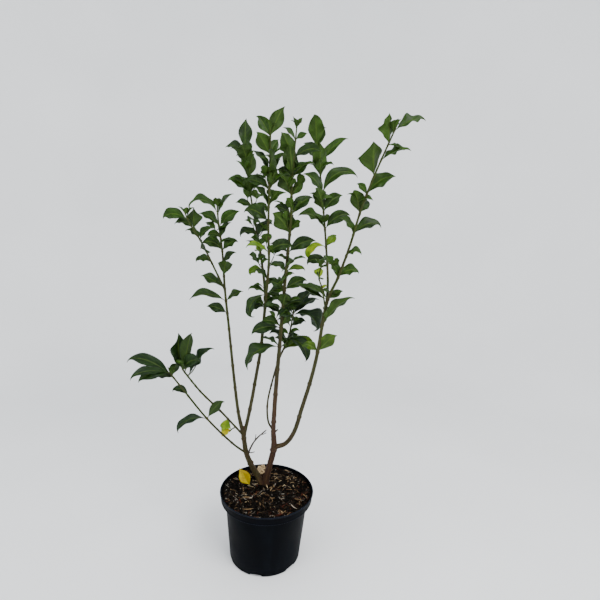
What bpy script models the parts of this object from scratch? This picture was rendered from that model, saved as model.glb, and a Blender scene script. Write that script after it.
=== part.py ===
"""Potted spindle tree: a young deciduous shrub of several stems in a nursery pot.

Metres, +Z up. The origin is the middle of the pot's flat underside, and -Y is the side that
faces the viewer. The woody frame is a root crown with two main stems that carry boughs. Each
bough ends in a spray of leaves. A stem is one smooth tapering path, and it is cut into its
nodes along its length, with a small gap at each cut. A side limb starts on a short collar that
belongs to the limb that carries it. Leaves stand in opposite pairs, each pair turned a quarter
from the one below, and a leaf that would touch another node is turned aside or left out.
"""

import math
import random
from dataclasses import dataclass, field
from typing import NamedTuple

import bmesh
import bpy
from mathutils import Matrix, Vector
from mathutils.bvhtree import BVHTree
from mathutils.geometry import interpolate_bezier

# Pot and substrate
POT_HEIGHT = 0.171
RIM_RADIUS = 0.113
COLLAR_FOOT_RADIUS = 0.1105
COLLAR_DEPTH = 0.020
BODY_TOP_RADIUS = 0.0993
BASE_RADIUS = 0.086
BASE_CHAMFER = 0.004
WALL = 0.0016
FLOOR = 0.0020
RIM_BEAD = 0.0012
POT_SEGMENTS = 40
NOTCHES = 6
NOTCH_WIDTH = 0.030
NOTCH_HEIGHT = 0.007
NOTCH_DEPTH = 0.012
NOTCH_TOP_SHARE = 0.8
NOTCH_FACING = 257
SOIL_LEVEL = 0.160
SOIL_STEP = 0.003

# Stem paths
MILLIMETRE = 0.001
CURVE_STEPS = 24
DIRECTION_SPAN = 0.004

# Joints between nodes
GAP = 0.0003
CLEARANCE = 0.0012
COLLAR_MARGIN = 0.001
COLLAR_STEP = 0.0005
SUNK = 0.0012

# Leaves
LEAF_HALF_WIDTH = 0.205
BROADEST_LENGTH = 0.075
LEAF_THICKNESS = 0.013
PETIOLE_SHARE = 0.10
PETIOLE_RADIUS = 0.0011
PETIOLE_DEPTH = 1.6
LEAF_FOLD = 20
MIDRIB_STEPS = 40
DROOP_POWER = 1.4
LEAF_STATIONS = ((0.32, 0.86), (0.56, 0.97), (0.80, 0.50))
CLEAR_SKIN = 0.0011
CLEAR_OF_STEM = 0.006
JITTER_SWING = 11
JITTER_RISE = 7
JITTER_CURL = 16
JITTER_LENGTH = 0.10
JITTER_ROLL = 16
LIGHT_ROLL = 26
TOP_RISE = 10
GROWN_SHARE = 0.45
TIP_SHARE = 0.93
TIP_LEAF = 0.55
LEVEL_BIAS = 0.01
NUDGES = (
    (0, 0, 0), (12, 0, 0), (-12, 0, 0), (0, 12, 0), (0, -12, 0), (24, 6, 0), (-24, 6, 0),
    (0, 0, 30), (0, 18, -20), (38, 10, 0), (-38, 10, 0), (50, 0, 20), (-50, 0, 20),
)

# Stem sections
TRUNK_SIDES = 9
BOUGH_SIDES = 7
SHOOT_SIDES = 5
RING_STEP = 0.030
SHOOT_STEP = 0.045
FLARE_STATIONS = (0.006, 0.014)
FLARE_REACH = 0.012


@dataclass
class Foliage:
    """The leaf rule of one shoot, in metres and degrees."""

    first: float
    gaps: tuple
    pairs: int
    turn: float
    leaf: float
    seed: int
    low: float = 0.55
    rise: float = 42
    curl: float = 72
    special: dict = field(default_factory=dict)


class Leaf(NamedTuple):
    """How one leaf stands out from its shoot's rule."""

    length: float
    heading: float
    rise: float
    curl: float


ABSENT = Leaf(0.0, 0, 0, 0)


# ---------------------------------------------------------------- stems and their paths

def smooth_path(points):
    """A smooth curve through the points, as closely spaced vectors."""
    knots = [Vector(p) for p in points]
    slopes = []
    for index, knot in enumerate(knots):
        before = knots[max(index - 1, 0)]
        after = knots[min(index + 1, len(knots) - 1)]
        slopes.append((after - before).normalized())
    curve = [knots[0]]
    for index in range(len(knots) - 1):
        reach = (knots[index + 1] - knots[index]).length / 3
        handles = (knots[index] + slopes[index] * reach, knots[index + 1] - slopes[index + 1] * reach)
        curve += interpolate_bezier(knots[index], *handles, knots[index + 1], CURVE_STEPS + 1)[1:]
    return curve


class Stem:
    """A tapering path from the limb that carries it to its tip."""

    def __init__(self, *knots):
        self.curve = smooth_path([knot[:3] for knot in knots])
        self.girths = [knot[3] * MILLIMETRE for knot in knots]
        self.lengths = [0.0]
        for before, after in zip(self.curve, self.curve[1:]):
            self.lengths.append(self.lengths[-1] + (after - before).length)
        self.length = self.lengths[-1]

    def place(self, distance):
        """The curve's stretch that holds a distance, and how far through it that is."""
        distance = min(max(distance, 0.0), self.length)
        index = 0
        while index < len(self.lengths) - 2 and self.lengths[index + 1] < distance:
            index += 1
        return index, (distance - self.lengths[index]) / (self.lengths[index + 1] - self.lengths[index])

    def point(self, distance):
        index, share = self.place(distance)
        return self.curve[index].lerp(self.curve[index + 1], share)

    def radius(self, distance):
        index, share = self.place(distance)
        knot = (index + share) / CURVE_STEPS
        below = min(int(knot), len(self.girths) - 2)
        return self.girths[below] + (self.girths[below + 1] - self.girths[below]) * (knot - below)

    def frame(self, distance):
        """The centre and two directions across the stem there."""
        ahead = self.point(distance + DIRECTION_SPAN)
        along = (ahead - self.point(distance - DIRECTION_SPAN)).normalized()
        across = (Vector((1, 0, 0)) - along * along.x).normalized()
        return self.point(distance), across, along.cross(across)

    def distance_at(self, height):
        """How far along the stem first reaches a height."""
        for distance, point in zip(self.lengths, self.curve):
            if point.z >= height:
                return distance
        return self.length

    def nearest_gap(self, point):
        """The distance from a point to the stem's surface."""
        best = 1.0
        for distance, centre in zip(self.lengths, self.curve):
            best = min(best, (point - centre).length - self.radius(distance))
        return best


def collar_length(side, carrier):
    """How far a side stem runs before it is clear of the stem that carries it."""
    distance = carrier.girths[0] / 2
    while carrier.nearest_gap(side.point(distance)) < side.radius(distance) + CLEARANCE:
        distance += COLLAR_STEP
    return distance


def fork_cut(carrier, side):
    """Where a carrier is cut at a fork: level with the end of the side stem's collar."""
    return carrier.distance_at(side.point(collar_length(side, carrier)).z) + COLLAR_MARGIN


# ---------------------------------------------------------------- meshes

def tube_mesh(stem, start, end, sides, step, flare=0.0):
    """A closed tube round a stretch of the stem. A flare widens its first centimetres."""
    count = max(2, math.ceil((end - start) / step) + 1)
    stations = [start + (end - start) * i / (count - 1) for i in range(count)]
    if flare:
        stations = sorted(set(stations + [start + station for station in FLARE_STATIONS]))
    mesh = bmesh.new()
    rings = []
    for distance in stations:
        centre, across, over = stem.frame(distance)
        radius = stem.radius(distance) + flare * math.exp((start - distance) / FLARE_REACH)
        ring = []
        for i in range(sides):
            angle = 2 * math.pi * i / sides
            ring.append(mesh.verts.new(centre + (across * math.cos(angle) + over * math.sin(angle)) * radius))
        rings.append(ring)
    for lower, upper in zip(rings, rings[1:]):
        for i in range(sides):
            j = (i + 1) % sides
            mesh.faces.new((lower[i], lower[j], upper[j], upper[i]))
    mesh.faces.new(list(reversed(rings[0])))
    mesh.faces.new(rings[-1])
    return mesh


@dataclass
class Pose:
    """Where a leaf starts, its level heading and rise there, how far it droops, and its build."""

    base: Vector
    heading: Vector
    rise: float
    curl: float
    roll: float
    length: float
    wide: float = 1.0


def midrib(pose, shares):
    """Points and directions along a leaf's midrib at shares of its length."""
    point = pose.base.copy()
    found = []
    wanted = list(shares)
    for step in range(MIDRIB_STEPS + 1):
        share = step / MIDRIB_STEPS
        angle = math.radians(pose.rise - pose.curl * share ** DROOP_POWER)
        along = pose.heading * math.cos(angle) + Vector((0, 0, math.sin(angle)))
        while wanted and share >= wanted[0] - 1e-9:
            found.append((point.copy(), along))
            wanted.pop(0)
        point += along * (pose.length / MIDRIB_STEPS)
    return found


def leaf_mesh(pose, skin=0.0, blade_only=False):
    """A leaf folded along its midrib: a diamond section from the petiole to the tip."""
    length = pose.length
    thick = LEAF_THICKNESS * length + 2 * skin
    stem_half = PETIOLE_RADIUS + skin
    stations = [(0.0, stem_half, 0), (PETIOLE_SHARE, stem_half, 0)]
    for share, wide in LEAF_STATIONS:
        half = wide * pose.wide * LEAF_HALF_WIDTH * length
        stations.append((share, half + skin, LEAF_FOLD))
    stations.append((1.0, 0.0, 0))
    if blade_only:
        stations = [station for station in stations if station[0] * length > CLEAR_OF_STEM]
    ribs = midrib(pose, [station[0] for station in stations])
    level_side = Vector((0, 0, 1)).cross(pose.heading)
    mesh = bmesh.new()
    rings = []
    for (share, half, fold), (point, along) in zip(stations[:-1], ribs):
        side = Matrix.Rotation(math.radians(pose.roll), 3, along) @ level_side
        up = along.cross(side)
        lift = up * (half * math.sin(math.radians(fold)))
        out = side * (half * math.cos(math.radians(fold)))
        deep = max(thick, PETIOLE_DEPTH * half) if fold == 0 else thick
        ring = (point + lift + out, point + up * (deep / 2), point + lift - out, point - up * (deep / 2))
        rings.append([mesh.verts.new(p) for p in ring])
    tip = mesh.verts.new(ribs[-1][0] + ribs[-1][1] * skin)
    for lower, upper in zip(rings, rings[1:]):
        for i in range(4):
            j = (i + 1) % 4
            mesh.faces.new((lower[i], lower[j], upper[j], upper[i]))
    for i in range(4):
        mesh.faces.new((rings[-1][i], rings[-1][(i + 1) % 4], tip))
    mesh.faces.new(list(reversed(rings[0])))
    bmesh.ops.recalc_face_normals(mesh, faces=mesh.faces)
    return mesh


def tree_of(mesh):
    """A search tree of a bmesh, for overlap tests."""
    return BVHTree.FromBMesh(mesh)


# ---------------------------------------------------------------- objects

MATERIALS = {
    "black_plastic": ((0.012, 0.015, 0.024), 0.48, 0.0),
    "substrate": ((0.035, 0.024, 0.016), 0.95, 0.0),
    "brown_bark": ((0.110, 0.066, 0.040), 0.85, 0.0),
    "olive_bark": ((0.105, 0.105, 0.040), 0.75, 0.0),
    "green_bark": ((0.085, 0.125, 0.035), 0.65, 0.0),
    "dry_twig": ((0.150, 0.110, 0.070), 0.90, 0.0),
    "leaf_green": ((0.045, 0.120, 0.014), 0.50, 0.0),
    "old_leaf_green": ((0.020, 0.075, 0.028), 0.50, 0.0),
    "yellow_leaf": ((0.600, 0.480, 0.020), 0.60, 0.0),
}


def material(name):
    """The named material, made on first use."""
    if name in bpy.data.materials:
        return bpy.data.materials[name]
    colour, roughness, metallic = MATERIALS[name]
    made = bpy.data.materials.new(name)
    made.use_nodes = True
    shader = made.node_tree.nodes["Principled BSDF"]
    shader.inputs["Base Color"].default_value = (*colour, 1.0)
    shader.inputs["Roughness"].default_value = roughness
    shader.inputs["Metallic"].default_value = metallic
    return made


def add_object(name, mesh, finish, smooth=False):
    """An object of its own mesh from a bmesh, in the scene."""
    data = bpy.data.meshes.new(name)
    mesh.to_mesh(data)
    mesh.free()
    made = bpy.data.objects.new(name, data)
    bpy.context.scene.collection.objects.link(made)
    data.materials.append(material(finish))
    if smooth:
        data.shade_smooth()
        data.set_sharp_from_angle(angle=math.radians(35))
    return made


def largest_body(data):
    """Keeps the mesh's outer body: an inner shell or a loose scrap is dropped."""
    mesh = bmesh.new()
    mesh.from_mesh(data)
    unseen = set(mesh.faces)
    bodies = []
    while unseen:
        seed = unseen.pop()
        body = [seed]
        edge_of_search = [seed]
        while edge_of_search:
            face = edge_of_search.pop()
            for edge in face.edges:
                for other in edge.link_faces:
                    if other in unseen:
                        unseen.discard(other)
                        body.append(other)
                        edge_of_search.append(other)
        bodies.append(body)
    bodies.sort(key=lambda body: sum(face.calc_area() for face in body))
    scrap = [face for body in bodies[:-1] for face in body]
    bmesh.ops.delete(mesh, geom=scrap, context="FACES")
    mesh.to_mesh(data)
    mesh.free()


def fuse(body, meshes):
    """Joins closed bmeshes to an object with one Boolean union, applied."""
    if not meshes:
        return
    group = bpy.data.collections.new(body.name + "_pieces")
    for index, mesh in enumerate(meshes):
        data = bpy.data.meshes.new(f"{body.name}_piece_{index}")
        mesh.to_mesh(data)
        mesh.free()
        group.objects.link(bpy.data.objects.new(data.name, data))
    union = body.modifiers.new("join", "BOOLEAN")
    union.operation = "UNION"
    union.operand_type = "COLLECTION"
    union.collection = group
    union.solver = "EXACT"
    bpy.context.scene.collection.children.link(group)
    graph = bpy.context.evaluated_depsgraph_get()
    joined = bpy.data.meshes.new_from_object(body.evaluated_get(graph), depsgraph=graph)
    body.modifiers.clear()
    body.data = joined
    for piece in list(group.objects):
        bpy.data.objects.remove(piece)
    bpy.data.collections.remove(group)
    largest_body(joined)


# ---------------------------------------------------------------- limbs

@dataclass
class Side:
    """A side stem and how far along its carrier it leaves."""

    stem: Stem
    collar: float = 0.0


class Plant:
    """A search tree for each node built so far, and for the wood of each spray still to come."""

    def __init__(self):
        self.trees = {}

    def keep(self, made):
        mesh = bmesh.new()
        mesh.from_mesh(made.data)
        self.trees[made.name] = tree_of(mesh)
        mesh.free()
        return made

    def reserve(self, name, shoots, start):
        """Keeps the place of a spray's wood, so that no other leaf grows through it."""
        main = shoots[0][0]
        self.trees[name] = tree_of(tube_mesh(main, start, main.length, SHOOT_SIDES, SHOOT_STEP))
        for index, (stem, _) in enumerate(shoots[1:]):
            wood = tube_mesh(stem, 0.0, stem.length, SHOOT_SIDES, SHOOT_STEP)
            self.trees[f"{name}_{index}"] = tree_of(wood)

    def own_wood(self, name, shoots):
        names = [name] + [f"{name}_{index}" for index in range(len(shoots) - 1)]
        return {own: self.trees.pop(own) for own in names}

    def touches(self, mesh):
        probe = tree_of(mesh)
        return any(tree.overlap(probe) for tree in self.trees.values())


def limb(
    plant, name, stem, start, end, finish, sides=BOUGH_SIDES, carried=(), stubs=(), step=RING_STEP
):
    """One node along a stem, with the collars of the side stems it carries and its dead stubs."""
    low = start + GAP / 2 if start else start
    high = end - GAP / 2
    body = add_object(name, tube_mesh(stem, low, high, sides, step), finish, smooth=True)
    collars = []
    for side in carried:
        side.collar = collar_length(side.stem, stem)
        collars.append(tube_mesh(side.stem, 0.0, side.collar - GAP / 2, BOUGH_SIDES, RING_STEP / 2))
    dead = [tube_mesh(stub, 0.0, stub.length, SHOOT_SIDES, RING_STEP) for stub in stubs]
    fuse(body, collars + dead)
    return plant.keep(body)


# ---------------------------------------------------------------- sprays of leaves

def pair_distances(foliage):
    """Where the pairs stand along the shoot: the gaps shorten evenly towards the tip."""
    distance = foliage.first
    low, high = foliage.gaps
    for index in range(foliage.pairs):
        yield distance
        share = index / max(foliage.pairs - 1, 1)
        distance += low + (high - low) * share


def rule_length(foliage, share):
    """A leaf's length by its place on the shoot: smaller at the foot, tiny at the very tip."""
    grow = foliage.low + (1 - foliage.low) * min(1.0, share / GROWN_SHARE)
    tip = 1.0 if share < TIP_SHARE else TIP_LEAF
    return foliage.leaf * grow * tip


def leaf_poses(stem, foliage):
    """The pose of each leaf of a shoot, by the seeded rule and then by its special leaves.

    A leaf at the side of the plant rolls its upper face towards the light, which is at -Y.
    Leaves stop growing broader at a certain length.
    """
    chance = random.Random(foliage.seed)
    for pair, distance in enumerate(pair_distances(foliage)):
        share = pair / max(foliage.pairs - 1, 1)
        centre, across, over = stem.frame(distance)
        along = across.cross(over)
        turn = foliage.turn + 90 * pair + chance.uniform(-JITTER_SWING, JITTER_SWING)
        for side in (0, 1):
            angle = turn + 180 * side + chance.uniform(-JITTER_SWING, JITTER_SWING) / 2
            rise = foliage.rise + chance.uniform(-JITTER_RISE, JITTER_RISE) + TOP_RISE * share
            curl = foliage.curl + chance.uniform(-JITTER_CURL, JITTER_CURL)
            roll = chance.uniform(-JITTER_ROLL, JITTER_ROLL)
            length = rule_length(foliage, share) * (1 + chance.uniform(-JITTER_LENGTH, JITTER_LENGTH))
            out = across * math.cos(math.radians(angle)) + over * math.sin(math.radians(angle))
            first = out * math.cos(math.radians(rise)) + along * math.sin(math.radians(rise))
            level = Vector((first.x, first.y, 0)) + Vector((out.x, out.y, 0)) * LEVEL_BIAS
            heading = level.normalized()
            rise = math.degrees(math.asin(first.z))
            own = foliage.special.get((pair, side))
            if own == ABSENT:
                continue
            if own:
                length, aim, rise, curl = own
                heading = Vector((math.cos(math.radians(aim)), math.sin(math.radians(aim)), 0))
            wide = min(1.0, BROADEST_LENGTH / length)
            yield Pose(centre, heading, rise, curl, roll + LIGHT_ROLL * heading.x, length, wide)


def nudged(pose, swing, lift, droop):
    """The pose turned aside, and sunk a little into its stem."""
    heading = Matrix.Rotation(math.radians(swing), 3, "Z") @ pose.heading
    rise = pose.rise + lift
    first = heading * math.cos(math.radians(rise)) + Vector((0, 0, math.sin(math.radians(rise))))
    return Pose(
        pose.base - first * SUNK, heading, rise, pose.curl + droop, pose.roll, pose.length, pose.wide
    )


def spray(plant, name, shoots, start, finish):
    """A mass of leaves: its main shoot from a cut on the stem, its side twigs and all their leaves."""
    main, _ = shoots[0]
    body = add_object(
        name, tube_mesh(main, start + GAP / 2, main.length, SHOOT_SIDES, SHOOT_STEP), finish
    )
    pieces = [tube_mesh(stem, 0.0, stem.length, SHOOT_SIDES, SHOOT_STEP) for stem, _ in shoots[1:]]
    own = list(plant.own_wood(name, shoots).values())
    for stem, foliage in shoots:
        for rule_pose in leaf_poses(stem, foliage):
            for nudge in NUDGES:
                pose = nudged(rule_pose, *nudge)
                if plant.touches(leaf_mesh(pose, skin=CLEAR_SKIN)):
                    continue
                blade = tree_of(leaf_mesh(pose, blade_only=True))
                if any(blade.overlap(other) for other in own):
                    continue
                own.append(blade)
                pieces.append(leaf_mesh(pose))
                break
    fuse(body, pieces)
    return plant.keep(body)


# ---------------------------------------------------------------- pot, substrate and root crown

def turned_solid(name, profile, finish):
    """A profile of (radius, height) points turned round the pot's axis."""
    mesh = bmesh.new()
    points = [mesh.verts.new((radius, 0, height)) for radius, height in profile]
    edges = [mesh.edges.new(pair) for pair in zip(points, points[1:])]
    bmesh.ops.spin(
        mesh, geom=points + edges, cent=(0, 0, 0), axis=(0, 0, 1), angle=2 * math.pi,
        steps=POT_SEGMENTS, use_merge=True,
    )
    bmesh.ops.remove_doubles(mesh, verts=mesh.verts, dist=1e-6)
    bmesh.ops.recalc_face_normals(mesh, faces=mesh.faces)
    return add_object(name, mesh, finish, smooth=True)


def body_radius(height):
    """The outer radius of the pot's tapering body."""
    top = POT_HEIGHT - COLLAR_DEPTH
    return BASE_RADIUS + (BODY_TOP_RADIUS - BASE_RADIUS) * height / top


def notch_cutter():
    """The drainage openings round the foot: arched blocks set through the wall."""
    mesh = bmesh.new()
    for index in range(NOTCHES):
        block = bmesh.ops.create_cube(mesh, size=1.0)["verts"]
        turn = Matrix.Rotation(math.radians(NOTCH_FACING + 360 * index / NOTCHES), 4, "Z")
        middle = Matrix.Translation((BASE_RADIUS, 0, 0))
        size = Matrix.Diagonal((2 * NOTCH_DEPTH, NOTCH_WIDTH, 2 * NOTCH_HEIGHT, 1))
        bmesh.ops.transform(mesh, matrix=turn @ middle @ size, verts=block)
        upper = [v for v in block if v.co.z > 0]
        for vert in upper:
            side = turn.inverted() @ vert.co
            side.y *= NOTCH_TOP_SHARE
            vert.co = turn @ side
    cutter = add_object("notch_cutter", mesh, "black_plastic")
    cutter.hide_render = True
    cutter.display_type = "WIRE"
    return cutter


def build_pot(plant):
    """The pot: a thin tapering body, a deep collar with a beaded lip, and a flat floor."""
    step = POT_HEIGHT - COLLAR_DEPTH
    lip = POT_HEIGHT - RIM_BEAD
    profile = [
        (0, 0),
        (BASE_RADIUS - BASE_CHAMFER, 0),
        (BASE_RADIUS, BASE_CHAMFER),
        (body_radius(step / 2), step / 2),
        (BODY_TOP_RADIUS, step),
        (COLLAR_FOOT_RADIUS, step),
        (COLLAR_FOOT_RADIUS, step + WALL),
        (RIM_RADIUS - RIM_BEAD, lip - 2 * RIM_BEAD),
        (RIM_RADIUS, lip - RIM_BEAD),
        (RIM_RADIUS, lip),
        (RIM_RADIUS - RIM_BEAD, POT_HEIGHT),
        (RIM_RADIUS - 2 * RIM_BEAD, lip),
        (COLLAR_FOOT_RADIUS - WALL, step + WALL),
        (BODY_TOP_RADIUS - WALL, step + WALL),
        (BASE_RADIUS - WALL, BASE_CHAMFER),
        (BASE_RADIUS - BASE_CHAMFER, FLOOR),
        (0, FLOOR),
    ]
    pot = turned_solid("pot", profile, "black_plastic")
    cut = pot.modifiers.new("drainage", "BOOLEAN")
    cut.operation = "DIFFERENCE"
    cut.object = notch_cutter()
    cut.solver = "EXACT"
    return plant.keep(pot)


def build_substrate(plant):
    """The substrate that fills the pot, clear of its wall, with a flat top."""
    step = POT_HEIGHT - COLLAR_DEPTH
    ledge = step + WALL + GAP
    lean = RIM_RADIUS - 2 * RIM_BEAD - COLLAR_FOOT_RADIUS + WALL
    slope = lean / (POT_HEIGHT - RIM_BEAD - step - WALL)
    collar_inside = COLLAR_FOOT_RADIUS - WALL - CLEARANCE
    profile = [
        (0, FLOOR + GAP),
        (BASE_RADIUS - BASE_CHAMFER - CLEARANCE, FLOOR + GAP),
        (BASE_RADIUS - WALL - CLEARANCE, BASE_CHAMFER + CLEARANCE),
        (BODY_TOP_RADIUS - WALL - CLEARANCE, ledge),
        (collar_inside, ledge),
        (collar_inside + slope * (SOIL_LEVEL - ledge), SOIL_LEVEL),
        (0, SOIL_LEVEL),
    ]
    return plant.keep(turned_solid("substrate", profile, "substrate"))


def cut_flat(made, height):
    """Cuts away what is below a height and closes the cut with one flat face."""
    mesh = bmesh.new()
    mesh.from_mesh(made.data)
    geometry = list(mesh.verts) + list(mesh.edges) + list(mesh.faces)
    cut = bmesh.ops.bisect_plane(
        mesh, geom=geometry, plane_co=(0, 0, height), plane_no=(0, 0, 1), clear_inner=True
    )
    rim = [item for item in cut["geom_cut"] if isinstance(item, bmesh.types.BMEdge)]
    bmesh.ops.contextual_create(mesh, geom=rim)
    bmesh.ops.recalc_face_normals(mesh, faces=mesh.faces)
    mesh.to_mesh(made.data)
    mesh.free()


def build_root_crown(plant, left, right, stump):
    """The swollen foot where both stems and the old cut stump rise from the substrate."""
    body = add_object(
        "root_crown",
        tube_mesh(left, 0.0, CROWN_TOP - GAP / 2, TRUNK_SIDES, RING_STEP / 2, flare=ROOT_FLARE),
        "brown_bark", smooth=True,
    )
    rest = [
        tube_mesh(right, 0.0, CROWN_TOP - GAP / 2, TRUNK_SIDES, RING_STEP / 2, flare=ROOT_FLARE),
        tube_mesh(stump, 0.0, stump.length, BOUGH_SIDES, RING_STEP / 2, flare=ROOT_FLARE / 2),
    ]
    fuse(body, rest)
    cut_flat(body, SOIL_LEVEL + GAP)
    return plant.keep(body)


def build_fallen_leaf(plant):
    """A yellow leaf that stands on its edge in the substrate, its face to the viewer."""
    flat = Pose(
        Vector((0, 0, 0)), Vector((1, 0, 0)), FALLEN_LEAF_RISE, FALLEN_LEAF_CURL, 0,
        FALLEN_LEAF_LENGTH, FALLEN_LEAF_WIDE,
    )
    leaf = add_object("fallen_leaf", leaf_mesh(flat), "yellow_leaf")
    rib = Vector(FALLEN_LEAF_RIB).normalized()
    face = Vector(FALLEN_LEAF_FACE)
    side = face.cross(rib).normalized()
    turn = Matrix((rib, side, rib.cross(side))).transposed().to_4x4()
    leaf.matrix_world = Matrix.Translation(FALLEN_LEAF_FOOT) @ turn
    bpy.context.view_layer.update()
    lowest = min((leaf.matrix_world @ vert.co).z for vert in leaf.data.vertices)
    leaf.location.z += SOIL_LEVEL + GAP - lowest
    bpy.context.view_layer.update()
    return leaf


# ---------------------------------------------------------------- the plant

CROWN_TOP = 0.044
ROOT_FLARE = 0.007
FALLEN_LEAF_LENGTH = 0.060
FALLEN_LEAF_WIDE = 1.25
FALLEN_LEAF_RISE = 8
FALLEN_LEAF_CURL = 22
FALLEN_LEAF_FOOT = (-0.030, 0.010, 0.163)
FALLEN_LEAF_RIB = (-0.036, 0.004, 0.058)
FALLEN_LEAF_FACE = (0.15, -0.95, 0.20)

# Each stem lists (x, y, z, radius in millimetres) from its carrier's middle to its tip.
LEFT = Stem(
    (-0.006, 0.031, 0.150, 8.0), (-0.024, 0.028, 0.186, 6.6), (-0.043, 0.020, 0.226, 6.0),
    (-0.054, 0.014, 0.258, 5.6), (-0.062, 0.010, 0.307, 4.8), (-0.075, 0.020, 0.354, 3.4),
    (-0.089, 0.035, 0.439, 3.0), (-0.107, 0.055, 0.569, 2.6), (-0.118, 0.065, 0.648, 2.3),
    (-0.127, 0.080, 0.734, 1.9), (-0.140, 0.095, 0.810, 1.5), (-0.144, 0.100, 0.850, 1.0),
)
LEFT_SIDE = Stem(
    (-0.118, 0.065, 0.648, 1.9), (-0.143, 0.040, 0.707, 1.7), (-0.164, 0.010, 0.759, 1.5),
    (-0.185, -0.020, 0.801, 1.2), (-0.194, -0.030, 0.823, 0.9),
)
MIDDLE = Stem(
    (-0.0605, 0.011, 0.300, 3.8), (-0.046, 0.010, 0.380, 3.6), (-0.036, 0.010, 0.449, 3.4),
    (-0.026, 0.000, 0.526, 3.2), (-0.018, -0.010, 0.647, 2.8), (-0.014, -0.030, 0.729, 2.2),
    (-0.017, -0.045, 0.795, 2.0), (-0.018, -0.065, 0.874, 1.7), (-0.018, -0.085, 0.959, 1.2),
    (-0.020, -0.090, 0.995, 0.9),
)
MIDDLE_LEFT = Stem(
    (-0.018, -0.009, 0.640, 2.5), (-0.028, 0.015, 0.707, 2.3), (-0.043, 0.050, 0.778, 2.0),
    (-0.063, 0.090, 0.867, 1.7), (-0.080, 0.130, 0.968, 1.2), (-0.090, 0.147, 1.030, 0.9),
)
RIGHT = Stem(
    (-0.008, 0.032, 0.150, 8.5), (-0.003, 0.025, 0.183, 7.2), (0.004, 0.012, 0.223, 6.6),
    (0.013, 0.000, 0.280, 6.6), (0.010, -0.008, 0.330, 5.0), (0.013, -0.010, 0.453, 4.3),
    (0.0175, -0.012, 0.550, 3.8), (0.022, -0.015, 0.661, 3.3), (0.027, -0.020, 0.755, 2.8),
    (0.030, -0.025, 0.819, 2.3), (0.029, -0.030, 0.900, 1.8), (0.034, -0.035, 1.012, 0.9),
)
RIGHT_BOUGH = Stem(
    (0.0125, 0.000, 0.279, 5.0), (0.040, -0.012, 0.2965, 4.6), (0.059, -0.025, 0.334, 4.4),
    (0.072, -0.035, 0.392, 4.1), (0.0895, -0.045, 0.469, 3.8), (0.1006, -0.050, 0.534, 3.5),
    (0.115, -0.050, 0.647, 3.0), (0.134, -0.065, 0.704, 2.4), (0.151, -0.085, 0.771, 2.1),
    (0.164, -0.110, 0.842, 1.8), (0.180, -0.135, 0.905, 1.5), (0.207, -0.165, 0.989, 0.9),
)
RIGHT_INNER = Stem(
    (0.115, -0.050, 0.645, 2.5), (0.117, -0.025, 0.695, 2.3), (0.113, 0.010, 0.766, 2.0),
    (0.106, 0.040, 0.844, 1.8), (0.097, 0.080, 0.933, 1.5), (0.081, 0.120, 1.035, 0.9),
)
RIGHT_TWIG = Stem(
    (0.113, -0.050, 0.630, 1.3), (0.099, -0.075, 0.683, 1.2), (0.091, -0.085, 0.705, 1.0),
    (0.095, -0.095, 0.733, 0.8),
)
THIN_SIDE = Stem(
    (0.0102, -0.007, 0.325, 1.9), (-0.003, -0.008, 0.350, 1.8), (-0.006, -0.003, 0.394, 1.7),
    (0.004, 0.006, 0.447, 1.7), (0.015, 0.012, 0.489, 1.7), (0.030, 0.012, 0.531, 1.6),
    (0.040, 0.010, 0.565, 1.4), (0.046, 0.000, 0.622, 1.0),
)
LOW_UPPER = Stem(
    (-0.061, 0.0105, 0.303, 2.0), (-0.1115, -0.040, 0.387, 1.8), (-0.149, -0.080, 0.447, 1.6),
    (-0.1725, -0.120, 0.5005, 1.3), (-0.178, -0.130, 0.514, 1.0),
)
LOW_LOWER = Stem(
    (-0.0532, 0.0144, 0.255, 2.2), (-0.084, -0.020, 0.298, 1.9), (-0.1356, -0.060, 0.374, 1.7),
    (-0.181, -0.100, 0.4575, 1.5), (-0.2022, -0.130, 0.505, 1.1),
)
LOW_SPUR = Stem(
    (-0.079, -0.008, 0.333, 1.0), (-0.087, -0.014, 0.331, 0.9), (-0.093, -0.018, 0.325, 0.8),
)
DEAD_TWIG = Stem(
    (-0.0505, 0.0156, 0.248, 1.4), (-0.041, 0.010, 0.277, 1.2), (-0.028, 0.005, 0.300, 1.0),
    (-0.006, 0.004, 0.322, 0.7),
)
OLD_STUMP = Stem(
    (-0.010, 0.040, 0.150, 9.0), (-0.013, 0.048, 0.178, 8.5), (-0.015, 0.054, 0.196, 8.0),
)
LEFT_STUB = Stem((-0.060, 0.011, 0.304, 2.0), (-0.061, 0.008, 0.328, 1.6))
RIGHT_STUB = Stem((0.0105, -0.007, 0.318, 1.6), (0.020, -0.012, 0.331, 1.1))


# Where each limb ends and its spray begins, by height.
LEFT_SPRAY_FOOT = 0.566
RIGHT_SPRAY_FOOT = 0.512
RIGHT_ELBOW_TOP = 0.385
MIDDLE_SPRAY_FOOT = 0.604
CENTRE_SPRAY_FOOT = 0.500
THIN_SPRAY_FOOT = 0.503
LOW_UPPER_SPRAY_FOOT = 0.480
LOW_LOWER_SPRAY_FOOT = 0.360

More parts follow.
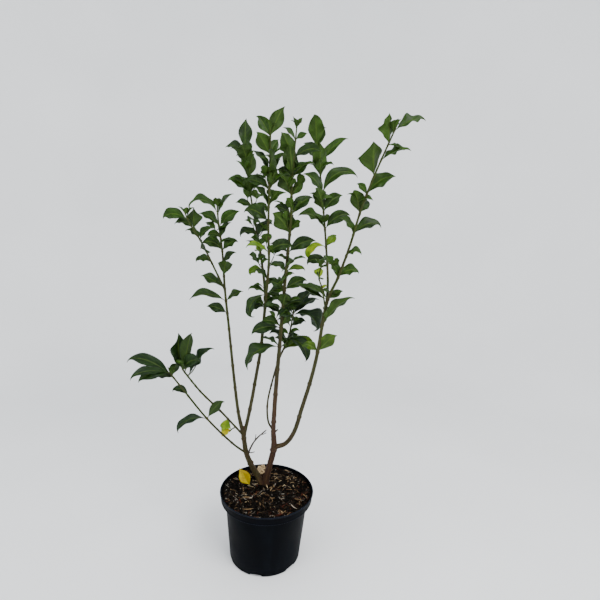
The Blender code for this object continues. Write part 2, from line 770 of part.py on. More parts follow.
# Each rule starts its pairs at a height and gives their gaps, and special leaves by (pair, side).
# A turn of 0 sets the first pair across the view: side 0 grows to +X and side 1 to -X.
# A special leaf is (length, heading, rise, curl), with headings turned from +X towards +Y.
LEFT_LEAVES = Foliage(
    first=LEFT.distance_at(0.590), gaps=(0.030, 0.030), pairs=9, turn=10, leaf=0.062, seed=3,
    low=0.8, special={
        (0, 0): ABSENT, (0, 1): Leaf(0.055, 180, 35, 40),
        (1, 0): Leaf(0.050, 0, 45, 30), (1, 1): Leaf(0.095, 180, 30, 70),
        (2, 0): ABSENT, (2, 1): Leaf(0.070, 170, 35, 30),
        (3, 1): ABSENT,
        (4, 0): Leaf(0.045, 0, 65, 50), (4, 1): ABSENT,
        (5, 0): Leaf(0.050, 0, 60, 60), (5, 1): Leaf(0.060, 180, 60, 100),
        (6, 0): Leaf(0.050, 0, 80, 50), (6, 1): Leaf(0.040, 180, 70, 120),
        (7, 0): Leaf(0.065, 0, 55, 40), (7, 1): Leaf(0.060, 180, 55, 60),
        (8, 0): Leaf(0.065, 0, 80, 30), (8, 1): Leaf(0.100, 180, 65, 150),
    },
)
LEFT_SIDE_LEAVES = Foliage(
    first=0.040, gaps=(0.036, 0.026), pairs=6, turn=100, leaf=0.050, seed=5, low=0.5, special={
        (0, 0): ABSENT, (0, 1): ABSENT,
        (1, 0): ABSENT, (1, 1): Leaf(0.045, 180, 45, 100),
        (2, 1): ABSENT,
        (3, 0): Leaf(0.045, 0, 80, 90), (3, 1): Leaf(0.045, 170, 60, 80),
        (4, 0): Leaf(0.050, -80, 75, 30), (4, 1): Leaf(0.050, 180, 55, 100),
        (5, 0): ABSENT, (5, 1): Leaf(0.060, 180, 30, 70),
    },
)
MIDDLE_LEAVES = Foliage(
    first=MIDDLE.distance_at(0.620), gaps=(0.032, 0.034), pairs=12, turn=15, leaf=0.070, seed=7,
    special={
        (0, 0): Leaf(0.040, 0, 25, 110), (0, 1): Leaf(0.040, 180, 30, 110),
        (1, 0): Leaf(0.040, 0, 10, 90), (1, 1): Leaf(0.080, 200, -15, 140),
        (2, 0): ABSENT, (2, 1): ABSENT,
        (3, 0): Leaf(0.045, 0, 40, 140), (3, 1): ABSENT,
        (5, 0): ABSENT, (5, 1): ABSENT,
        (6, 1): ABSENT,
        (7, 0): Leaf(0.050, 0, 65, 60), (7, 1): ABSENT,
        (8, 0): Leaf(0.050, -40, 70, 40), (8, 1): Leaf(0.055, 180, 45, 60),
        (9, 0): Leaf(0.055, 0, 70, 40),
        (10, 0): Leaf(0.040, 30, 70, 40), (10, 1): Leaf(0.055, -140, 50, 30),
        (11, 0): Leaf(0.065, -10, 72, 20), (11, 1): Leaf(0.050, 180, 65, 20),
    },
)
MIDDLE_LEFT_LEAVES = Foliage(
    first=0.070, gaps=(0.040, 0.034), pairs=10, turn=0, leaf=0.065, seed=11, low=0.4, special={
        (0, 0): ABSENT, (0, 1): Leaf(0.040, 180, 20, 110),
        (1, 1): Leaf(0.040, -150, 65, 60),
        (2, 0): Leaf(0.055, 0, 80, 80), (2, 1): Leaf(0.055, 180, 55, 130),
        (3, 0): ABSENT,
        (4, 0): Leaf(0.045, 0, 35, 120), (4, 1): Leaf(0.045, 180, 40, 60),
        (5, 0): Leaf(0.060, 0, 75, 60), (5, 1): Leaf(0.070, 180, 55, 60),
        (6, 0): Leaf(0.065, -40, 80, 30), (6, 1): Leaf(0.055, -160, 65, 40),
        (7, 1): Leaf(0.070, 180, 70, 30),
        (8, 0): Leaf(0.080, 10, 80, 20),
    },
)
CENTRE_LEAVES = Foliage(
    first=RIGHT.distance_at(0.530), gaps=(0.044, 0.037), pairs=12, turn=0, leaf=0.072, seed=13,
    low=0.7, special={
        (0, 0): ABSENT, (0, 1): Leaf(0.110, 190, 15, 120),
        (1, 0): ABSENT, (1, 1): Leaf(0.075, 180, 10, 60),
        (2, 0): ABSENT,
        (3, 0): Leaf(0.060, 0, 45, 40), (3, 1): Leaf(0.045, 180, 50, 60),
        (4, 0): Leaf(0.050, 0, 40, 80), (4, 1): Leaf(0.040, 180, 55, 60),
        (5, 0): Leaf(0.072, 0, 60, 50), (5, 1): Leaf(0.048, 180, 50, 60),
        (6, 0): Leaf(0.045, 60, 70, 30), (6, 1): Leaf(0.070, -135, 48, 45),
        (7, 0): Leaf(0.066, 0, 60, 40), (7, 1): Leaf(0.045, 180, 50, 60),
        (8, 0): Leaf(0.045, -30, 60, 50), (8, 1): Leaf(0.060, -140, 45, 40),
        (9, 0): Leaf(0.050, 0, 60, 40), (9, 1): Leaf(0.040, 180, 50, 60),
        (10, 0): Leaf(0.065, -130, 48, 30),
        (11, 0): Leaf(0.030, 0, 45, 30), (11, 1): Leaf(0.038, 180, 55, 30),
    },
)
RIGHT_LEAVES = Foliage(
    first=RIGHT_BOUGH.distance_at(0.532), gaps=(0.062, 0.022), pairs=12, turn=0, leaf=0.072,
    seed=17, low=0.6, special={
        (0, 0): Leaf(0.070, 0, 50, 60), (0, 1): Leaf(0.045, 180, 55, 80),
        (1, 0): Leaf(0.100, -10, 60, 50), (1, 1): ABSENT,
        (2, 0): Leaf(0.040, 0, 45, 30), (2, 1): Leaf(0.070, 190, 45, 60),
        (3, 0): Leaf(0.055, 0, 55, 100), (3, 1): Leaf(0.045, 180, 80, 60),
        (4, 0): Leaf(0.040, -30, 45, 120), (4, 1): ABSENT,
        (5, 0): Leaf(0.070, 0, 55, 90), (5, 1): Leaf(0.050, 180, 75, 70),
        (6, 0): Leaf(0.055, -130, 65, 40), (6, 1): Leaf(0.050, 60, 50, 60),
        (7, 0): Leaf(0.070, 0, 60, 60), (7, 1): Leaf(0.032, 170, 65, 50),
        (8, 0): Leaf(0.070, -110, 50, 35), (8, 1): Leaf(0.055, 160, 75, 90),
        (9, 0): Leaf(0.060, -10, 38, 50), (9, 1): ABSENT,
        (10, 0): Leaf(0.045, -140, 50, 30), (10, 1): Leaf(0.028, -10, 5, 60),
        (11, 0): Leaf(0.066, 0, 40, 40), (11, 1): Leaf(0.024, 170, 50, 30),
    },
)
RIGHT_INNER_LEAVES = Foliage(
    first=0.090, gaps=(0.042, 0.040), pairs=8, turn=0, leaf=0.070, seed=19, special={
        (0, 0): Leaf(0.030, -10, 25, 80), (0, 1): Leaf(0.055, 180, 40, 100),
        (1, 0): Leaf(0.042, 30, 50, 30), (1, 1): Leaf(0.068, 180, 22, 165),
        (2, 0): Leaf(0.075, 5, 60, 70), (2, 1): Leaf(0.080, 180, 62, 90),
        (3, 0): Leaf(0.065, -140, 70, 50), (3, 1): Leaf(0.065, 60, 65, 40),
        (4, 0): Leaf(0.118, 10, 78, 130), (4, 1): Leaf(0.074, 180, 74, 70),
        (5, 0): Leaf(0.090, -110, 65, 35), (5, 1): ABSENT,
        (6, 0): Leaf(0.095, 0, 58, 30), (6, 1): Leaf(0.065, 180, 68, 50),
        (7, 0): Leaf(0.085, -110, 62, 25), (7, 1): Leaf(0.060, 20, 78, 30),
    },
)
RIGHT_TWIG_LEAVES = Foliage(first=0.055, gaps=(0.026, 0.026), pairs=3, turn=0, leaf=0.030, seed=23)
THIN_SIDE_LEAVES = Foliage(
    first=THIN_SIDE.distance_at(0.515), gaps=(0.032, 0.030), pairs=4, turn=20, leaf=0.040, seed=29,
    special={
        (0, 0): Leaf(0.090, 0, 50, 90), (0, 1): ABSENT,
        (1, 0): Leaf(0.090, -30, 5, 150),
        (2, 0): ABSENT,
        (3, 0): Leaf(0.085, -20, 25, 110), (3, 1): Leaf(0.080, 20, 45, 60),
    },
)
LOW_UPPER_LEAVES = Foliage(
    first=LOW_UPPER.distance_at(0.492), gaps=(0.014, 0.012), pairs=3, turn=0, leaf=0.040, seed=31,
    special={
        (0, 0): Leaf(0.085, 0, 65, 30), (0, 1): ABSENT,
        (1, 0): Leaf(0.105, -60, 70, 30), (1, 1): Leaf(0.090, -110, 82, 30),
        (2, 0): Leaf(0.060, -30, 50, 80),
    },
)
LOW_LOWER_LEAVES = Foliage(
    first=LOW_LOWER.distance_at(0.374), gaps=(0.080, 0.030), pairs=4, turn=0, leaf=0.040, seed=37,
    special={
        (0, 0): Leaf(0.060, 10, 60, 40), (0, 1): Leaf(0.080, 200, 10, 120),
        (1, 0): ABSENT, (1, 1): Leaf(0.045, 180, 65, 120),
        (2, 1): Leaf(0.110, 180, 45, 60),
        (3, 0): Leaf(0.070, 215, 15, 80), (3, 1): Leaf(0.080, 200, 25, 90),
    },
)
LOW_SPUR_LEAVES = Foliage(first=0.012, gaps=(0.0, 0.0), pairs=1, turn=60, leaf=0.030, seed=41, low=1.0)


def build():
    """Every node of the plant, from the pot up."""
    plant = Plant()
    build_pot(plant)
    build_substrate(plant)
    build_root_crown(plant, LEFT, RIGHT, OLD_STUMP)

    left_fork = fork_cut(LEFT, MIDDLE)
    left_leaves = LEFT.distance_at(LEFT_SPRAY_FOOT)
    right_leaves = RIGHT.distance_at(CENTRE_SPRAY_FOOT)
    elbow_end = RIGHT_BOUGH.distance_at(RIGHT_ELBOW_TOP)
    right_end = RIGHT_BOUGH.distance_at(RIGHT_SPRAY_FOOT)
    middle_end = MIDDLE.distance_at(MIDDLE_SPRAY_FOOT)
    thin_end = THIN_SIDE.distance_at(THIN_SPRAY_FOOT)
    upper_end = LOW_UPPER.distance_at(LOW_UPPER_SPRAY_FOOT)
    lower_end = LOW_LOWER.distance_at(LOW_LOWER_SPRAY_FOOT)

    middle, low_upper, low_lower = Side(MIDDLE), Side(LOW_UPPER), Side(LOW_LOWER)
    dead, right_bough, thin_side, spur = Side(DEAD_TWIG), Side(RIGHT_BOUGH), Side(THIN_SIDE), Side(LOW_SPUR)

    limb(plant, "left_stem", LEFT, CROWN_TOP, left_fork, "olive_bark", TRUNK_SIDES,
         (middle, low_upper, low_lower, dead), (LEFT_STUB,))
    limb(plant, "right_stem", RIGHT, CROWN_TOP, right_leaves, "brown_bark", TRUNK_SIDES,
         (right_bough, thin_side), (RIGHT_STUB,))
    limb(plant, "left_bough", LEFT, left_fork, left_leaves, "olive_bark")
    limb(plant, "middle_bough", MIDDLE, middle.collar, middle_end, "olive_bark")
    limb(plant, "right_bough_elbow", RIGHT_BOUGH, right_bough.collar, elbow_end, "olive_bark",
         step=RING_STEP / 2)
    limb(plant, "right_bough", RIGHT_BOUGH, elbow_end, right_end, "olive_bark")
    limb(plant, "thin_side_twig", THIN_SIDE, thin_side.collar, thin_end, "olive_bark", SHOOT_SIDES)
    limb(plant, "low_left_upper_bough", LOW_UPPER, low_upper.collar, upper_end, "green_bark",
         SHOOT_SIDES, (spur,))
    limb(plant, "low_left_lower_bough", LOW_LOWER, low_lower.collar, lower_end, "green_bark",
         SHOOT_SIDES)
    limb(plant, "dead_twig", DEAD_TWIG, dead.collar, DEAD_TWIG.length, "dry_twig", SHOOT_SIDES)
    build_fallen_leaf(plant)

    sprays = (
        ("right_spray", right_end, "leaf_green", (
            (RIGHT_BOUGH, RIGHT_LEAVES), (RIGHT_INNER, RIGHT_INNER_LEAVES), (RIGHT_TWIG, RIGHT_TWIG_LEAVES),
        )),
        ("left_spray", left_leaves, "leaf_green", ((LEFT, LEFT_LEAVES), (LEFT_SIDE, LEFT_SIDE_LEAVES))),
        ("middle_spray", middle_end, "leaf_green", (
            (MIDDLE, MIDDLE_LEAVES), (MIDDLE_LEFT, MIDDLE_LEFT_LEAVES),
        )),
        ("centre_spray", right_leaves, "leaf_green", ((RIGHT, CENTRE_LEAVES),)),
        ("inner_right_spray", thin_end, "old_leaf_green", ((THIN_SIDE, THIN_SIDE_LEAVES),)),
        ("low_left_upper_spray", upper_end, "old_leaf_green", ((LOW_UPPER, LOW_UPPER_LEAVES),)),
        ("low_left_lower_spray", lower_end, "old_leaf_green", ((LOW_LOWER, LOW_LOWER_LEAVES),)),
        ("low_left_spur", spur.collar, "yellow_leaf", ((LOW_SPUR, LOW_SPUR_LEAVES),)),
    )
    for name, start, _, shoots in sprays:
        plant.reserve(name, shoots, start)
    for name, start, finish, shoots in sprays:
        spray(plant, name, shoots, start, finish)


def main():
    for old in list(bpy.data.objects):
        bpy.data.objects.remove(old)
    build()


main()
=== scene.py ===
"""The potted spindle tree dressed for show: bark, buds, leaves, pot and substrate.

Metres, in the frame of the solids: +Z up, the origin in the middle of the pot's flat underside,
and -Y towards the viewer. The stems and the leaf rule are the ones of the solids. Each leaf of the
solids gets its real outline, thickness, veins and waves, and some are held otherwise, as the
photograph shows them. More leaves, short young shoots, tip leaves and buds fill the sprays out
within the same reach. The wood gets its bark and its leaf nodes.
"""
import math
import random
from dataclasses import dataclass, field
from typing import NamedTuple

import bmesh
import bpy
import numpy as np
from mathutils import Matrix, Vector
from mathutils.geometry import interpolate_bezier


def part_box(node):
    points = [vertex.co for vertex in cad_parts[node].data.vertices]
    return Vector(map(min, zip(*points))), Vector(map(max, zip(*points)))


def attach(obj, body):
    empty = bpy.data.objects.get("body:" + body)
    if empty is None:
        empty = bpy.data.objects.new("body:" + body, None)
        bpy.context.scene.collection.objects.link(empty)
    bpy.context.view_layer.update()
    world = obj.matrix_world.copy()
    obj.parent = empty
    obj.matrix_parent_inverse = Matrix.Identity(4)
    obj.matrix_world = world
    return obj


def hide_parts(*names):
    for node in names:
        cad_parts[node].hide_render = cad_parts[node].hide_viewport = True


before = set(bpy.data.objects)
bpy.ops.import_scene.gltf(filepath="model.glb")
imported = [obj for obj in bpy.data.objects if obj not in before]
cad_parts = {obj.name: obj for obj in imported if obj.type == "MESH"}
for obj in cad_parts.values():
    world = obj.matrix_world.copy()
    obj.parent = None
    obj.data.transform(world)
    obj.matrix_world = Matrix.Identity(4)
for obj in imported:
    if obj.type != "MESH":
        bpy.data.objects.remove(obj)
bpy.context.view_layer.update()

MILLIMETRE = 0.001
UPWARDS = Vector((0, 0, 1))

# ---------------------------------------------------------------- the stems' and leaves' rule

CURVE_STEPS = 24
DIRECTION_SPAN = 0.004
SUNK = 0.0012
RULE_RISE = 42
RULE_CURL = 72
DROOP_POWER = 1.4
JITTER_SWING = 11
JITTER_RISE = 7
JITTER_CURL = 16
JITTER_LENGTH = 0.10
JITTER_ROLL = 16
LIGHT_ROLL = 26
TOP_RISE = 10
GROWN_SHARE = 0.45
TIP_SHARE = 0.93
TIP_LEAF = 0.55
LEVEL_BIAS = 0.01
ABSENT = ()


@dataclass
class Foliage:
    """The leaf rule of one shoot, in metres and degrees."""

    first: float
    gaps: tuple
    pairs: int
    turn: float
    leaf: float
    seed: int
    low: float = 0.55
    special: dict = field(default_factory=dict)


@dataclass
class Pose:
    """Where a leaf starts, its level heading and rise there, its droop, its roll and its length."""

    base: Vector
    heading: Vector
    rise: float
    curl: float
    roll: float
    length: float


def smooth_path(points):
    """A smooth curve through the points, as closely spaced vectors."""
    knots = [Vector(p) for p in points]
    slopes = []
    for index in range(len(knots)):
        before = knots[max(index - 1, 0)]
        after = knots[min(index + 1, len(knots) - 1)]
        slopes.append((after - before).normalized())
    curve = [knots[0]]
    for index in range(len(knots) - 1):
        start, end = knots[index:index + 2]
        reach = (end - start).length / 3
        handles = (start + slopes[index] * reach, end - slopes[index + 1] * reach)
        curve += interpolate_bezier(start, *handles, end, CURVE_STEPS + 1)[1:]
    return curve


class Stem:
    """A tapering path from the limb that carries it to its tip, with radii in millimetres."""

    def __init__(self, points, girths):
        self.curve = smooth_path(points)
        self.girths = [girth * MILLIMETRE for girth in girths]
        self.lengths = [0.0]
        for before, after in zip(self.curve, self.curve[1:]):
            self.lengths.append(self.lengths[-1] + (after - before).length)
        self.length = self.lengths[-1]

    def place(self, distance):
        """The curve's stretch that holds a distance, and how far through it that is."""
        distance = min(max(distance, 0.0), self.length)
        index = 0
        while index < len(self.lengths) - 2 and self.lengths[index + 1] < distance:
            index += 1
        start, end = self.lengths[index:index + 2]
        return index, (distance - start) / (end - start)

    def point(self, distance):
        index, share = self.place(distance)
        return self.curve[index].lerp(self.curve[index + 1], share)

    def radius(self, distance):
        index, share = self.place(distance)
        knot = (index + share) / CURVE_STEPS
        below = min(int(knot), len(self.girths) - 2)
        return self.girths[below] + (self.girths[below + 1] - self.girths[below]) * (knot - below)

    def frame(self, distance):
        """The centre and two directions across the stem there."""
        ahead = self.point(distance + DIRECTION_SPAN)
        along = (ahead - self.point(distance - DIRECTION_SPAN)).normalized()
        across = (Vector((1, 0, 0)) - along * along.x).normalized()
        return self.point(distance), across, along.cross(across)

    def distance_at(self, height):
        """How far along the stem first reaches a height."""
        for distance, point in zip(self.lengths, self.curve):
            if point.z >= height:
                return distance
        return self.length


def drawn(*knots):
    """A stem through knots (x, y, z, radius), all in millimetres."""
    points = [(x / 1000, y / 1000, z / 1000) for x, y, z, _ in knots]
    return Stem(points, [knot[3] for knot in knots])


def heading_at(degrees):
    """The level direction at an angle from +X towards +Y."""
    angle = math.radians(degrees)
    return Vector((math.cos(angle), math.sin(angle), 0))


def raised(heading, degrees):
    """A direction over a level heading, at an angle above it."""
    angle = math.radians(degrees)
    return heading * math.cos(angle) + UPWARDS * math.sin(angle)


def pair_distances(foliage):
    """Where the pairs stand along the shoot: the gaps change evenly towards the tip."""
    distance = foliage.first
    low, high = foliage.gaps
    for index in range(foliage.pairs):
        yield distance
        share = index / max(foliage.pairs - 1, 1)
        distance += low + (high - low) * share


def rule_length(foliage, share):
    """A leaf's length by its place on the shoot: smaller at the foot, tiny at the very tip."""
    grow = foliage.low + (1 - foliage.low) * min(1.0, share / GROWN_SHARE)
    tip = 1.0 if share < TIP_SHARE else TIP_LEAF
    return foliage.leaf * grow * tip


def leaf_poses(stem, foliage):
    """The pose of each leaf of a shoot by (pair, side): the seeded rule's, or a special leaf's.

    A leaf at the side of the plant rolls its upper face towards the light, which is at -Y.
    """
    chance = random.Random(foliage.seed)
    poses = {}
    for pair, distance in enumerate(pair_distances(foliage)):
        share = pair / max(foliage.pairs - 1, 1)
        centre, across, over = stem.frame(distance)
        along = across.cross(over)
        turn = foliage.turn + 90 * pair + chance.uniform(-JITTER_SWING, JITTER_SWING)
        for side, own in enumerate(foliage.special.get(pair, (None, None))):
            angle = turn + 180 * side + chance.uniform(-JITTER_SWING, JITTER_SWING) / 2
            rise = RULE_RISE + chance.uniform(-JITTER_RISE, JITTER_RISE) + TOP_RISE * share
            curl = RULE_CURL + chance.uniform(-JITTER_CURL, JITTER_CURL)
            roll = chance.uniform(-JITTER_ROLL, JITTER_ROLL)
            length = rule_length(foliage, share) * (1 + chance.uniform(-JITTER_LENGTH, JITTER_LENGTH))
            out = across * math.cos(math.radians(angle)) + over * math.sin(math.radians(angle))
            first = out * math.cos(math.radians(rise)) + along * math.sin(math.radians(rise))
            heading = Vector((first.x, first.y, 0)) + Vector((out.x, out.y, 0)) * LEVEL_BIAS
            heading = heading.normalized()
            rise = math.degrees(math.asin(first.z))
            if own == ABSENT:
                continue
            if own:
                length, aim, rise, curl = own
                length /= 1000
                heading = heading_at(aim)
            roll += LIGHT_ROLL * heading.x
            poses[pair, side] = Pose(centre, heading, rise, curl, roll, length)
    return poses


def nudged(pose, swing, lift, droop):
    """The pose turned aside, and sunk a little into its stem."""
    heading = Matrix.Rotation(math.radians(swing), 3, "Z") @ pose.heading
    rise = pose.rise + lift
    base = pose.base - raised(heading, rise) * SUNK
    return Pose(base, heading, rise, pose.curl + droop, pose.roll, pose.length)


# ---------------------------------------------------------------- the plant

# Each stem's knots run from its carrier's middle to its tip.
LEFT = drawn(
    (-6, 31, 150, 8), (-24, 28, 186, 6.6), (-43, 20, 226, 6), (-54, 14, 258, 5.6),
    (-62, 10, 307, 4.8), (-75, 20, 354, 3.4), (-89, 35, 439, 3), (-107, 55, 569, 2.6),
    (-118, 65, 648, 2.3), (-127, 80, 734, 1.9), (-140, 95, 810, 1.5), (-144, 100, 850, 1),
)
LEFT_SIDE = drawn(
    (-118, 65, 648, 1.9), (-143, 40, 707, 1.7), (-164, 10, 759, 1.5), (-185, -20, 801, 1.2),
    (-194, -30, 823, 0.9),
)
MIDDLE = drawn(
    (-60.5, 11, 300, 3.8), (-46, 10, 380, 3.6), (-36, 10, 449, 3.4), (-26, 0, 526, 3.2),
    (-18, -10, 647, 2.8), (-14, -30, 729, 2.2), (-17, -45, 795, 2), (-18, -65, 874, 1.7),
    (-18, -85, 959, 1.2), (-20, -90, 995, 0.9),
)
MIDDLE_LEFT = drawn(
    (-18, -9, 640, 2.5), (-28, 15, 707, 2.3), (-43, 50, 778, 2), (-63, 90, 867, 1.7),
    (-80, 130, 968, 1.2), (-90, 147, 1030, 0.9),
)
RIGHT = drawn(
    (-8, 32, 150, 8.5), (-3, 25, 183, 7.2), (4, 12, 223, 6.6), (13, 0, 280, 6.6), (10, -8, 330, 5),
    (13, -10, 453, 4.3), (17.5, -12, 550, 3.8), (22, -15, 661, 3.3), (27, -20, 755, 2.8),
    (30, -25, 819, 2.3), (29, -30, 900, 1.8), (34, -35, 1012, 0.9),
)
RIGHT_BOUGH = drawn(
    (12.5, 0, 279, 5), (40, -12, 296.5, 4.6), (59, -25, 334, 4.4), (72, -35, 392, 4.1),
    (89.5, -45, 469, 3.8), (100.6, -50, 534, 3.5), (115, -50, 647, 3), (134, -65, 704, 2.4),
    (151, -85, 771, 2.1), (164, -110, 842, 1.8), (180, -135, 905, 1.5), (207, -165, 989, 0.9),
)
RIGHT_INNER = drawn(
    (115, -50, 645, 2.5), (117, -25, 695, 2.3), (113, 10, 766, 2), (106, 40, 844, 1.8),
    (97, 80, 933, 1.5), (81, 120, 1035, 0.9),
)
RIGHT_TWIG = drawn(
    (113, -50, 630, 1.3), (99, -75, 683, 1.2), (91, -85, 705, 1), (95, -95, 733, 0.8),
)
THIN_SIDE = drawn(
    (10.2, -7, 325, 1.9), (-3, -8, 350, 1.8), (-6, -3, 394, 1.7), (4, 6, 447, 1.7),
    (15, 12, 489, 1.7), (30, 12, 531, 1.6), (40, 10, 565, 1.4), (46, 0, 622, 1),
)
LOW_UPPER = drawn(
    (-61, 10.5, 303, 2), (-111.5, -40, 387, 1.8), (-149, -80, 447, 1.6),
    (-172.5, -120, 500.5, 1.3), (-178, -130, 514, 1),
)
LOW_LOWER = drawn(
    (-53.2, 14.4, 255, 2.2), (-84, -20, 298, 1.9), (-135.6, -60, 374, 1.7),
    (-181, -100, 457.5, 1.5), (-202.2, -130, 505, 1.1),
)
LOW_SPUR = drawn((-79, -8, 333, 1), (-87, -14, 331, 0.9), (-93, -18, 325, 0.8))
LEFT_STUB = drawn((-60, 11, 304, 2), (-61, 8, 328, 1.6))
RIGHT_STUB = drawn((10.5, -7, 318, 1.6), (20, -12, 331, 1.1))
DRY_TWIG = drawn(
    (-50.5, 15.6, 248, 1.9), (-41, 10, 277, 1.6), (-28, 5, 300, 1.3), (-6, 4, 322, 0.8),
)
# The stump stands a little thicker than the solid one, for its bark, and is cut lower in front.
STUMP = drawn((-11, 38, 150, 12), (-14, 42, 176, 11.8), (-15.5, 45, 194, 11.6))

# Each rule starts its pairs at a distance along its stem and gives their gaps.
# A turn of 0 sets the first pair across the view: side 0 grows to +X and side 1 to -X.
# Special leaves stand by pair as (side 0, side 1), each (length in millimetres, heading, rise,
# curl) with headings turned from +X towards +Y. None leaves a side to the rule.
LEFT_LEAVES = Foliage(
    first=LEFT.distance_at(0.59), gaps=(0.03, 0.03), pairs=9, turn=10, leaf=0.062, seed=3, low=0.8,
    special={
        0: (ABSENT, (55, 180, 35, 40)), 1: ((50, 0, 45, 30), (95, 180, 30, 70)),
        2: (ABSENT, (70, 170, 35, 30)), 3: (None, ABSENT), 4: ((45, 0, 65, 50), ABSENT),
        5: ((50, 0, 60, 60), (60, 180, 60, 100)), 6: ((50, 0, 80, 50), (40, 180, 70, 120)),
        7: ((65, 0, 55, 40), (60, 180, 55, 60)), 8: ((65, 0, 80, 30), (100, 180, 65, 150)),
    },
)
LEFT_SIDE_LEAVES = Foliage(
    first=0.04, gaps=(0.036, 0.026), pairs=6, turn=100, leaf=0.05, seed=5, low=0.5,
    special={
        0: (ABSENT, ABSENT), 1: (ABSENT, (45, 180, 45, 100)), 2: (None, ABSENT),
        3: ((45, 0, 80, 90), (45, 170, 60, 80)), 4: ((50, -80, 75, 30), (50, 180, 55, 100)),
        5: (ABSENT, (60, 180, 30, 70)),
    },
)
MIDDLE_LEAVES = Foliage(
    first=MIDDLE.distance_at(0.62), gaps=(0.032, 0.034), pairs=12, turn=15, leaf=0.07, seed=7,
    special={
        0: ((40, 0, 25, 110), (40, 180, 30, 110)), 1: ((40, 0, 10, 90), (80, 200, -15, 140)),
        2: (ABSENT, ABSENT), 3: ((45, 0, 40, 140), ABSENT), 5: (ABSENT, ABSENT), 6: (None, ABSENT),
        7: ((50, 0, 65, 60), ABSENT), 8: ((50, -40, 70, 40), (55, 180, 45, 60)),
        9: ((55, 0, 70, 40), None), 10: ((40, 30, 70, 40), (55, -140, 50, 30)),
        11: ((65, -10, 72, 20), (50, 180, 65, 20)),
    },
)
MIDDLE_LEFT_LEAVES = Foliage(
    first=0.07, gaps=(0.04, 0.034), pairs=10, turn=0, leaf=0.065, seed=11, low=0.4,
    special={
        0: (ABSENT, (40, 180, 20, 110)), 1: (None, (40, -150, 65, 60)),
        2: ((55, 0, 80, 80), (55, 180, 55, 130)), 3: (ABSENT, None),
        4: ((45, 0, 35, 120), (45, 180, 40, 60)), 5: ((60, 0, 75, 60), (70, 180, 55, 60)),
        6: ((65, -40, 80, 30), (55, -160, 65, 40)), 7: (None, (70, 180, 70, 30)),
        8: ((80, 10, 80, 20), None),
    },
)
CENTRE_LEAVES = Foliage(
    first=RIGHT.distance_at(0.53), gaps=(0.044, 0.037), pairs=12, turn=0, leaf=0.072, seed=13,
    low=0.7,
    special={
        0: (ABSENT, (110, 190, 15, 120)), 1: (ABSENT, (75, 180, 10, 60)), 2: (ABSENT, None),
        3: ((60, 0, 45, 40), (45, 180, 50, 60)), 4: ((50, 0, 40, 80), (40, 180, 55, 60)),
        5: ((72, 0, 60, 50), (48, 180, 50, 60)), 6: ((45, 60, 70, 30), (70, -135, 48, 45)),
        7: ((66, 0, 60, 40), (45, 180, 50, 60)), 8: ((45, -30, 60, 50), (60, -140, 45, 40)),
        9: ((50, 0, 60, 40), (40, 180, 50, 60)), 10: ((65, -130, 48, 30), None),
        11: ((30, 0, 45, 30), (38, 180, 55, 30)),
    },
)
RIGHT_LEAVES = Foliage(
    first=RIGHT_BOUGH.distance_at(0.532), gaps=(0.062, 0.022), pairs=12, turn=0, leaf=0.072,
    seed=17, low=0.6,
    special={
        0: ((70, 0, 50, 60), (45, 180, 55, 80)), 1: ((100, -10, 60, 50), ABSENT),
        2: ((40, 0, 45, 30), (70, 190, 45, 60)), 3: ((55, 0, 55, 100), (45, 180, 80, 60)),
        4: ((40, -30, 45, 120), ABSENT), 5: ((70, 0, 55, 90), (50, 180, 75, 70)),
        6: ((55, -130, 65, 40), (50, 60, 50, 60)), 7: ((70, 0, 60, 60), (32, 170, 65, 50)),
        8: ((70, -110, 50, 35), (55, 160, 75, 90)), 9: ((60, -10, 38, 50), ABSENT),
        10: ((45, -140, 50, 30), (28, -10, 5, 60)), 11: ((66, 0, 40, 40), (24, 170, 50, 30)),
    },
)
RIGHT_INNER_LEAVES = Foliage(
    first=0.09, gaps=(0.042, 0.04), pairs=8, turn=0, leaf=0.07, seed=19,
    special={
        0: ((30, -10, 25, 80), (55, 180, 40, 100)), 1: ((42, 30, 50, 30), (68, 180, 22, 165)),
        2: ((75, 5, 60, 70), (80, 180, 62, 90)), 3: ((65, -140, 70, 50), (65, 60, 65, 40)),
        4: ((118, 10, 78, 130), (74, 180, 74, 70)), 5: ((90, -110, 65, 35), ABSENT),
        6: ((95, 0, 58, 30), (65, 180, 68, 50)), 7: ((85, -110, 62, 25), (60, 20, 78, 30)),
    },
)
RIGHT_TWIG_LEAVES = Foliage(first=0.055, gaps=(0.026, 0.026), pairs=3, turn=0, leaf=0.03, seed=23)
THIN_SIDE_LEAVES = Foliage(
    first=THIN_SIDE.distance_at(0.515), gaps=(0.032, 0.03), pairs=4, turn=20, leaf=0.04, seed=29,
    special={
        0: ((90, 0, 50, 90), ABSENT), 1: ((90, -30, 5, 150), None), 2: (ABSENT, None),
        3: ((85, -20, 25, 110), (80, 20, 45, 60)),
    },
)
LOW_UPPER_LEAVES = Foliage(
    first=LOW_UPPER.distance_at(0.492), gaps=(0.014, 0.012), pairs=3, turn=0, leaf=0.04, seed=31,
    special={
        0: ((85, 0, 65, 30), ABSENT), 1: ((105, -60, 70, 30), (90, -110, 82, 30)),
        2: ((60, -30, 50, 80), None),
    },
)
LOW_LOWER_LEAVES = Foliage(
    first=LOW_LOWER.distance_at(0.374), gaps=(0.08, 0.03), pairs=4, turn=0, leaf=0.04, seed=37,
    special={
        0: ((60, 10, 60, 40), (80, 200, 10, 120)), 1: (ABSENT, (45, 180, 65, 120)),
        2: (None, (110, 180, 45, 60)), 3: ((70, 215, 15, 80), (80, 200, 25, 90)),
    },
)
LOW_SPUR_LEAVES = Foliage(first=0.012, gaps=(0.0, 0.0), pairs=1, turn=60, leaf=0.03, seed=41, low=1.0)


